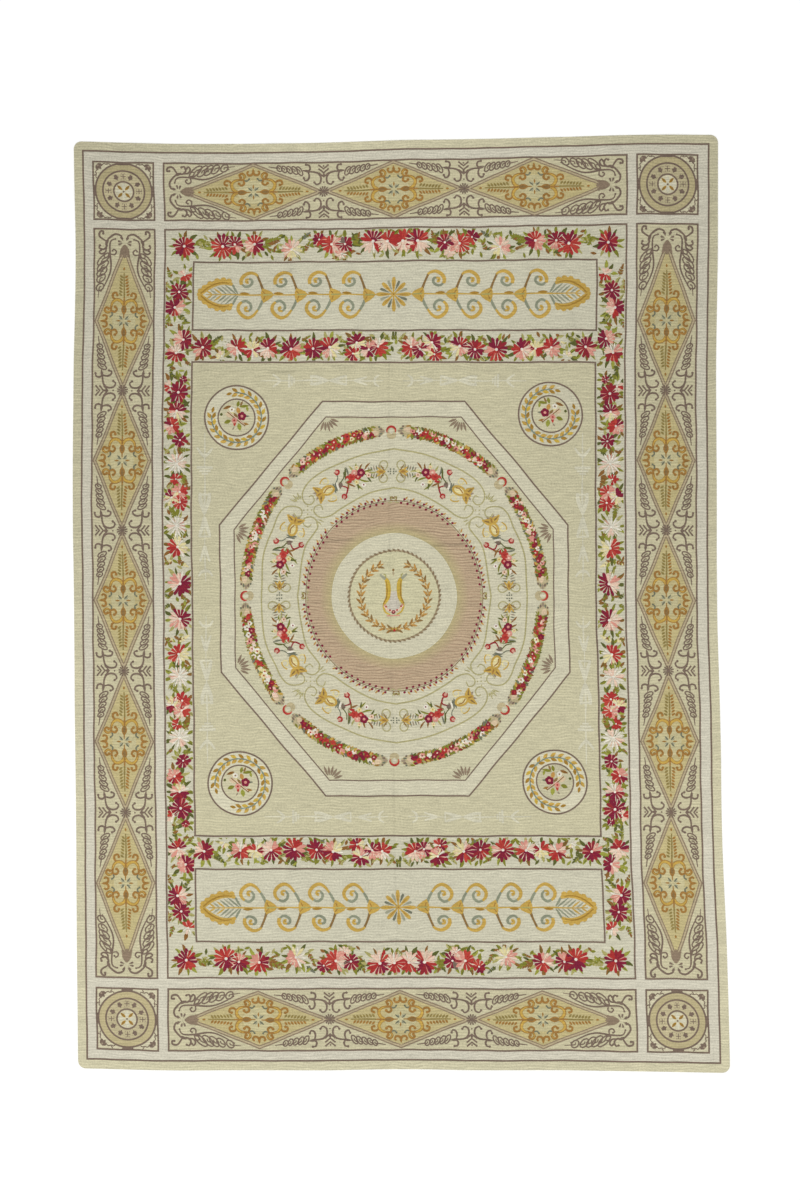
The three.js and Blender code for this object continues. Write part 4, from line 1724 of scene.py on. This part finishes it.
def horn(pen, chooser):
    for mirror in pen.both():
        lens(mirror, -20 - 2j, -39 + 28j, 21, "gold", 2, shape=HORN_TAIL)
        lens(mirror, -24 + 2j, -36 + 24j, 5, "bronze", 3)
        lens(mirror, -30 + 3j, -46 + 12j, 8, "pale taupe", 1)
        mirror.stroke(sweep(-14 + 28j, 50, (20, -40), (22, -130), (18, -120), (8, -60)), 4.2, "lemon", 1)
        mirror.stroke(sweep(-14 + 28j, 50, (20, -40), (10, -40)), 3.6, "gold", 2)
    pen.stroke(line(-41, -18), [5, 15, 22], "gold", 3)
    lens(pen, -38, -20, 5, "ochre", 4)
    t = np.linspace(0, math.tau, 24)[:-1]
    pen.fill(21 * np.cos(t) + 14j * np.sin(t), "lemon", 2)
    pen.loop(19.5 * np.cos(t) + 12.5j * np.sin(t), 6.5, "gold", 4)
    pen.stroke(smooth_path([(-14, -2), (0, 6), (13, 4)]), 3.4, "ochre", 5)
    for k, x in enumerate((19, 25, 38, 44)):
        name = "slate" if k < 2 else "taupe"
        lens(pen, complex(x, -14 + 3 * k - 4), complex(x + 5, 14 - 3 * k), 7.5, name, 3)
    lens(pen, 31 - 13j, 35 + 12j, 5.5, "white", 3)
    pen.stroke(smooth_path([(30, 8), (44, 20), (48, 32)]), 3, "slate", 2)
    pen.stroke(smooth_path([(44, 4), (62, 14), (70, 30)]), 3, "dark leaf", 2)
    pen.stroke(smooth_path([(46, -6), (58, -20), (48, -34), (42, -36)]), [3.4, 5, 3.4], "dark red", 2)
    tulip(pen, 52 + 37j, 11, 130)
    tulip(pen, 39 - 38j, 11, 220)
    for x, y, way, long, name in HORN_LEAVES:
        bow = chooser.uniform(-0.12, 0.12)
        lens(pen.at(x, y, way), 0, 1.2 * long, 5.6, name, 1 + (long > 27), BLADE, bow=bow)
    for x, y, radius, outer, inner in HORN_ROSES:
        rose(pen, complex(x, y), radius, outer, inner, 4 + (radius > 11), x)
    lens(pen, 64 - 2j, 80 - 10j, 7, "red", 5)
    lens(pen, 66 + 8j, 77 + 15j, 6, "coral", 5)


horns = []
for quarter in quadrants(Pen(horns).at(*RINGS)):
    horn(quarter.at(203, 328, 154, mirrored=True), chooser)
    horn(quarter.at(314, 206, 288), chooser)
weave("horns_of_plenty", horns)


# %% [markdown]
# The garland is a dense rope of little roses on leaves. Its base is a wavy green ribbon, so no ground shows
# through. Dark red stands near the cuffs and pale flowers halfway, as on the rug.


# %% The garland of roses
GARLAND_ROSES = (
    ("crimson", "pink"), ("dark red", "coral"), ("crimson", "red"), ("red", "blush"), ("dark red", "blush"),
    ("coral", "crimson"), ("pink", "crimson"), ("blush", "red"), ("white", "ochre"), ("lemon", "red"),
)


GARLAND_LEAVES = ("leaf", "brown leaf", "pale leaf", "slate", "leaf", "gold", "dark leaf")


def bloom(pen, middle, radius, outer, inner, layer, chooser):
    """A small rose of loose petals, no two of one size."""
    at = pen.at(middle.real, middle.imag, chooser.uniform(0, 72))
    for k in range(6):
        name = outer if chooser.random() < 0.7 else SECOND_YARN[outer]
        long = radius * chooser.uniform(0.75, 1.2)
        lens(at.at(degrees=60 * k), 0, long, radius * chooser.uniform(0.6, 0.95), name, layer + k % 2, PETAL)
    if chooser.random() < 0.75:
        lens(at, -0.3 * radius, 0.35 * radius, 0.5 * radius, inner, layer + 2)


def garland_part(base, top, start, end, chooser):
    """The stretch of the garland between two nodes, given as drawing angles."""
    length = oval_length(GARLAND, start, end)

    def degrees(reach):
        return start + (end - start) * reach / length

    spots = [on_oval(GARLAND, degrees(s))[0] for s in np.arange(60, length - 58, 6)]
    width = [GARLAND_WIDTH * (0.86 + 0.14 * math.sin(1.9 * k)) for k in range(len(spots))]
    Pen(base).at(*RINGS).stroke(spots, width, "leaf", 0)
    for s in np.arange(58, length - 56, 5.2):
        spot, heading = on_oval(GARLAND, degrees(s))
        pen = Pen(base).at(*RINGS).at(spot.real, spot.imag, heading + chooser.uniform(-25, 25))
        for side in (-1, 1):
            name = chooser.choice(GARLAND_LEAVES)
            tip = complex(chooser.uniform(2, 9), side * chooser.uniform(17, 22))
            lens(pen, complex(-2, side * 6), tip, 7.5, name, 1 + chooser.randrange(3))
    s = 64
    side = 1
    while s < length - 62:
        middle = abs(s / length - 0.5) * 2
        if middle > 0.32:
            darker = chooser.random() < 0.58
            outer, inner = chooser.choice(GARLAND_ROSES[:4] if darker else GARLAND_ROSES[4:9])
        else:
            outer, inner = chooser.choice(GARLAND_ROSES[3:])
        spot, heading = on_oval(GARLAND, degrees(s))
        pen = Pen(top).at(*RINGS).at(spot.real, spot.imag, heading)
        spot = complex(0, side * chooser.uniform(3.5, 8))
        radius = chooser.uniform(8.4, 10.8)
        bloom(pen, spot, radius, outer, inner, 4 + chooser.randrange(3), chooser)
        for place in (-side, side):
            if chooser.random() < 0.62:
                tip = complex(chooser.uniform(3, 10), place * chooser.uniform(16, 20))
                lens(pen, complex(-3, place * 9), tip, 7.5, chooser.choice(GARLAND_LEAVES), 9)
        if chooser.random() < 0.5:
            name = chooser.choice(("crimson", "dark red", "blush", "red"))
            lens(pen, complex(-4, -side * 12), complex(7, -side * 17), 8, name, 5)
        s += chooser.uniform(9.5, 13)
        side = -side


CUFF_STROKES = ("slate", "taupe", "pale taupe", "slate", "taupe")


def cuff(pen):
    """From a node along the pen's x axis: a pale barrel, banded with dark strokes at its near end."""
    pen.stroke(line(22, 62, 5), [12, 24, 33, 37, 38, 35], "cuff tan", 1)
    pen.stroke(line(40 + 4j, 61 + 4j, 5), [6, 14, 18, 14], "cuff pink", 2)
    for k, name in enumerate(CUFF_STROKES):
        y = (k - 2) * 6.4
        lens(pen, complex(20 + 1.1 * abs(y), y), complex(37 + 0.3 * abs(y), 1.25 * y), 6.4, name, 3)
    lens(pen, 46 + 14j, 62 + 17j, 5, "ochre", 3)
    lens(pen, 48 - 13j, 64 - 16j, 6, "leaf", 3)


garland_base, garland_roses = [], []
for start, end in zip(GARLAND_NODES, (*GARLAND_NODES[1:], 360)):
    garland_part(garland_base, garland_roses, start, end, chooser)
for node in GARLAND_NODES:
    spot, heading = on_oval(GARLAND, node)
    pen = Pen(garland_base).at(*RINGS).at(spot.real, spot.imag, heading)
    cuff(pen)
    cuff(pen.at(degrees=180))
    pen.oval(14, 14, "cuff tan", 2)
    pen.at(0, 12).oval(15, 13, "cuff tan", 2)
    pen.oval(8, 9, "garland cream", 3)
    pen.stroke(arc(0, 14, 160, 380), [2.4, 6, 7.4, 6, 2.4], "coral", 4)
    pen.stroke(arc(0, 15.5, 190, 350), [1.6, 3.4, 1.6], "red", 5)
weave("garland_leaves", garland_base)
weave("garland_roses", garland_roses)

# %% [markdown]
# The berry ring is a thin bronze stem along the edge of the brown disc. Berries stand in pairs across it,
# with a small brown leaf outside each pair. It leaves gaps at the four diagonals and has knots halfway.

# %% Berries, rope, wreath and lyre
heart_work = []
pen = Pen(heart_work).at(*RINGS)
pen.loop(oval_path(BERRIES), 2.4, "bronze", 1)
for base in (0, 90, 180, 270):
    for k in range(9):
        for sign in (-1, 1):
            angle = base + sign * (6.1 + 4.25 * k)
            spot, heading = on_oval(BERRIES, angle)
            berry = pen.at(spot.real, spot.imag, heading)
            berry.stroke(line(5 + 6j, -5 - 6j, 6), 1.8, "slate", 2)
            dot(berry, 5 + 6.2j, 3.9, "crimson", 3)
            dot(berry, -4 - 6j, 3.9, "crimson", 3)
            lens(berry, complex(sign * 6, -4), complex(sign * 13, -16), 5, "ring gold", 2)
            lens(berry, complex(sign * 11, 0), complex(sign * 17, -9), 4, "tan", 2)
    spot, heading = on_oval(BERRIES, base)
    knot = pen.at(spot.real, spot.imag, heading)
    for sign in (-1, 1):
        bow = sweep(2 * sign + 0j, 90 - 90 * sign, (10, -70 * sign), (10, -120 * sign), (8, -120 * sign))
        knot.stroke(bow, 3, "bronze", 2)
        lens(knot, 3 * sign + 4j, 18 * sign + 7j, 4.5, "olive", 2)
        lens(knot, 3 * sign - 5j, 12 * sign - 14j, 4, "pale leaf", 2)

heart = Pen(heart_work).at(*RINGS)
heart.loop(arc(0, 193, 0, 360, step=8)[:-1], 2.4, "ghost", 1)
strands = 60
for k in range(strands):
    bead = heart.at(degrees=360 * k / strands)
    lens(bead, ROPE_RADIUS - 3 - 6j, ROPE_RADIUS + 6 + 5j, 6.4, "rope brown", 2)
heart.loop(arc(0, ROPE_RADIUS, 0, 360)[:-1], 5, "rope tan", 1)
WREATH_PAIRS = 13
for side in (1, -1):
    for k in range(WREATH_PAIRS):
        angle = 270 + side * (8 + 147 * k / (WREATH_PAIRS - 1))
        sprig = heart.at(degrees=angle).at(WREATH_RADIUS, 0, 90 * side)
        lens(sprig, -8, 14, 5.6, "ochre" if k % 2 else "ring gold", 3)
        lens(sprig, -3, 7, 2.2, "lemon", 4)
        lens(sprig, -4 + 1j, 10 + 14j, 6.6, "ring gold" if k % 2 else "ochre", 2)
        lens(sprig, -4 - 1j, 10 - 14j, 6.6, "bronze" if k % 3 == 0 else "ring gold", 2)
        lens(sprig, -9 + 2j, 0 + 8j, 4.4, "bronze", 1)
        lens(sprig, -9 - 2j, 0 - 8j, 4.4, "ochre", 1)
for way, name in ((60, "gold"), (90, "ochre"), (120, "gold"), (20, "bronze"), (160, "bronze")):
    lens(heart.at(0, -WREATH_RADIUS - 6, way), 0, 15, 6.5, name, 4)
dot(heart, complex(0, -WREATH_RADIUS - 3), 4, "red", 6)

lyre = heart.at(-2, 0)
belly = [-10 + 14j, -13 - 8j, -20 - 30j, -12 - 50j, 12 - 50j, 20 - 30j, 13 - 8j, 10 + 14j]
lyre.fill(belly, "mauve", 1)
LYRE_ARM = [(56, 27), (46, 20), (30, 17), (10, 17), (-6, 19), (-22, 28), (-36, 30), (-50, 24), (-58, 10)]
LYRE_BULGE = [9, 13, 15, 15, 14, 11, 7, 5.5, 4.5, 3.5]
for mirror in (lyre.at(degrees=90), lyre.at(degrees=90, mirrored=True)):
    mirror.stroke(smooth_path(LYRE_ARM), LYRE_BULGE, "lyre gold", 3)
    mirror.stroke(smooth_path([(46, 23), (28, 21), (8, 21), (-8, 24), (-24, 32)]), [2, 4, 3], "deep gold", 4)
    mirror.stroke(smooth_path([(52, 25), (58, 31), (62, 37), (68, 41)]), [9, 8, 5], "pale slate", 3)
    mirror.stroke(smooth_path([(58, 26), (64, 24), (68, 30)]), [4, 3], "pale leaf", 3)
    mirror.stroke(smooth_path([(-30, 30), (-42, 18), (-48, 2)]), [3, 6, 6], "blush", 4)
    for x, y, name in ((-33, 23, "red"), (-38, 15, "mauve"), (-44, 11, "red"), (-28, 27, "pink")):
        dot(mirror, complex(x, y), 3.0, name, 5)
lyre.stroke(line(-20 - 61j, 20 - 61j), 3, "pink", 4)
dot(lyre, -50j, 6.4, "crimson", 6)
dot(lyre, -49j, 3, "pink", 7)
lens(lyre, 62j, 78j, 6, "tan", 2)
dot(lyre, 80j, 4, "bronze", 3)
weave("heart_work", heart_work)

# %% [markdown]
# Pale candelabra run down both sides of the field and along its ends. They are almost the colour of the
# ground, as if bleached out of it, so they only show when the light is even.

# %% Pale candelabra in the field
CANDELABRUM_LENGTH = 462


def candelabrum(pen):
    """A slim stand of bowls and bells along the pen's x axis."""
    pen.stroke(line(0, CANDELABRUM_LENGTH), [3, 6, 3, 8, 4, 3, 6, 3], "ghost", 1)
    for mirror in pen.both():
        mirror.stroke(smooth_path([(46, 24), (62, 13), (74, 1)]), [5, 9, 9], "ghost", 1)
        mirror.stroke(smooth_path([(186, 15), (210, 13), (234, 6), (252, 1)]), [9, 13, 11, 6], "ghost", 1)
        mirror.stroke(smooth_path([(262, 2), (286, 6), (304, 11), (322, 17)]), [6, 11, 12, 7], "ghost", 1)
        mirror.stroke(smooth_path([(352, 2), (376, 7), (400, 15)]), [6, 9, 6], "ghost", 1)
        mirror.stroke(smooth_path([(446, 22), (432, 12), (428, 0)]), [5, 9, 9], "ghost", 1)
    for x, reach, width in ((108, 25, 9), (118, 18, 7), (127, 10, 6), (192, 17, 7), (322, 19, 6)):
        pen.stroke(line(complex(x, -reach), complex(x, reach)), width, "ghost", 1)


ghosts = []
SIDE_STAND = 587
STAND_SHARE = 0.83
for quarter in quadrants(Pen(ghosts).at(*MIDDLE)):
    candelabrum(quarter.at(SIDE_STAND, 515, 270))
    candelabrum(quarter.at(414, 678, 180, size=STAND_SHARE))
weave("pale_candelabra", ghosts)

# %% [markdown]
# A roundel stands in each corner of the field: a cream ring with a wreath of gold leaves on a slate stem,
# open towards the field's corner, and in the middle a small bouquet over crossed stems.

# %% Roundels
ROUNDEL_SPOTS = ((484, 593, 0), (-491, 583, 90), (-490, -554, 180), (485, -550, 270))
ROUNDEL_OUT = 98.5
ROUNDEL_IN = 57
roundels = []
for x, y, way in ROUNDEL_SPOTS:
    pen = Pen(roundels).at(x, y)
    pen.oval(ROUNDEL_OUT, ROUNDEL_OUT, "octagon cream", 0, hole=ROUNDEL_IN / ROUNDEL_OUT)
    pen.oval(ROUNDEL_IN, ROUNDEL_IN, "field", 0)
    pen.loop(arc(0, ROUNDEL_OUT, 0, 360, step=7)[:-1], 4.8, "taupe", 3)
    pen.loop(arc(0, ROUNDEL_IN, 0, 360, step=6)[:-1], 4.2, "taupe", 3)
    for side in (-1, 1):
        stem = []
        for k in range(10):
            angle = way + 45 + 180 + side * (4 + 16.2 * k)
            leaf = pen.at(degrees=angle).at(77, 0, 90 * side)
            stem.append(cmath.rect(77, math.radians(angle)))
            if k == 9:
                lens(leaf, -4, 14, 9, "deep gold", 3)
                continue
            for tilt, name in ((28, "gold"), (-28, "lyre gold" if k % 2 else "deep gold")):
                lens(leaf.at(0, 3 if tilt > 0 else -3, tilt), 0, 20, 10.4, name, 2)
            lens(leaf.at(3, 0, 24), 2, 11, 2.6, "ochre", 4)
            lens(leaf, -8, 8, 5, "blue slate", 4)
        pen.stroke(smooth_path(stem[:-1], 3), 3.4, "blue slate", 1)
    spray = pen.at(degrees=180, mirrored=True) if x > 0 else pen
    spray = spray.at(size=1.12)
    spray.stroke(line(-25 + 16j, 24 - 22j, 6), [4, 6, 5], "bronze", 4)
    spray.stroke(line(-24 + 17j, 22 - 19j, 6), [1.4, 2.4, 1.6], "blush", 5)
    for px, py, lx, ly, wide, name in (
        (2, 30, 6, 46, 9, "leaf"), (8, 30, 34, 34, 8, "leaf"), (28, 32, 31, 18, 7, "bright leaf"),
        (10, 32, 16, 46, 6, "bronze"), (-16, -8, -34, -15, 11, "leaf"), (6, -16, 9, -36, 12, "bright leaf"),
        (-38, 9, -46, 9, 8, "dark leaf"), (-16, 32, -37, 24, 8, "brown leaf"), (14, -16, 34, -18, 7, "ochre"),
        (-30, 12, -14, 0, 9, "cuff pink"), (22, 4, 36, 5, 5, "slate"), (-6, -26, -12, -34, 4, "pale taupe"),
        (2, 28, 8, 10, 11, "ring gold"), (-22, 26, -6, 8, 8, "lemon"), (-8, 12, 4, 0, 7, "bronze"),
    ):
        lens(spray, complex(px, py), complex(lx, ly), wide, name, 2)
    rose(spray, 15 + 4j, 12, "crimson", "pink", 5, 10)
    rose(spray, -6 - 8j, 8, "pink", "red", 5, 40)
    lens(spray, -5 - 12j, -6 - 24j, 7, "coral", 5)
    rose(spray, -13 + 22j, 7.5, "white", "bronze", 5, 20)
weave("roundels", roundels)


# %% [markdown]
# The rug lies on a plain white floor and is seen from straight above, with the top of the design up. The
# light is soft and even, as in a photo made for showing a flat thing: a white sky, and a wide lamp high
# over the lower end that makes it a little brighter and lets the ridges and the weave show.

# %% Floor, light and camera
FLOOR_SIZE = 30
FLOOR_DROP = 0.0006
FLOOR_WHITE = 0.92
FLOOR_GLOW = 0.16
SKY_STRENGTH = 0.85
LAMP_SPOT = (-0.5, -1.4, 4.5)
LAMP_TURN = (18, 0, -20)
LAMP_SIZE = 2.0
LAMP_POWER = 45
SENSOR = 36
CAMERA_HIGH = 7.0
FRAME_TALL = 3.732
AIM = (-0.004, 0.0116)

bpy.ops.mesh.primitive_plane_add(size=FLOOR_SIZE, location=(0, 0, -FLOOR_DROP))
floor = bpy.context.object
floor.name = "floor"
floor_finish = bpy.data.materials.new("white_floor")
floor_finish.use_nodes = True
floor_shader = floor_finish.node_tree.nodes["Principled BSDF"]
floor_shader.inputs["Base Color"].default_value = (FLOOR_WHITE, FLOOR_WHITE, FLOOR_WHITE, 1)
floor_shader.inputs["Roughness"].default_value = 1.0
floor_shader.inputs["Specular IOR Level"].default_value = 0.0
floor_shader.inputs["Emission Color"].default_value = (1, 1, 1, 1)
floor_shader.inputs["Emission Strength"].default_value = FLOOR_GLOW
floor.data.materials.append(floor_finish)

world = bpy.data.worlds.new("white sky")
bpy.context.scene.world = world
world.use_nodes = True
world.node_tree.nodes["Background"].inputs["Color"].default_value = (1, 1, 1, 1)
world.node_tree.nodes["Background"].inputs["Strength"].default_value = SKY_STRENGTH

bpy.ops.object.light_add(type="AREA", location=LAMP_SPOT)
lamp = bpy.context.object
lamp.data.size = LAMP_SIZE
lamp.data.energy = LAMP_POWER
lamp.rotation_euler = [math.radians(angle) for angle in LAMP_TURN]

bpy.ops.object.camera_add(location=(AIM[0], AIM[1], CAMERA_HIGH), rotation=(0, 0, 0))
camera = bpy.context.object
camera.data.sensor_fit = "VERTICAL"
camera.data.sensor_height = SENSOR
camera.data.lens = SENSOR * CAMERA_HIGH / FRAME_TALL
bpy.context.scene.camera = camera
bpy.context.scene.view_settings.view_transform = "Standard"
print("lens", round(camera.data.lens, 1), "mm")
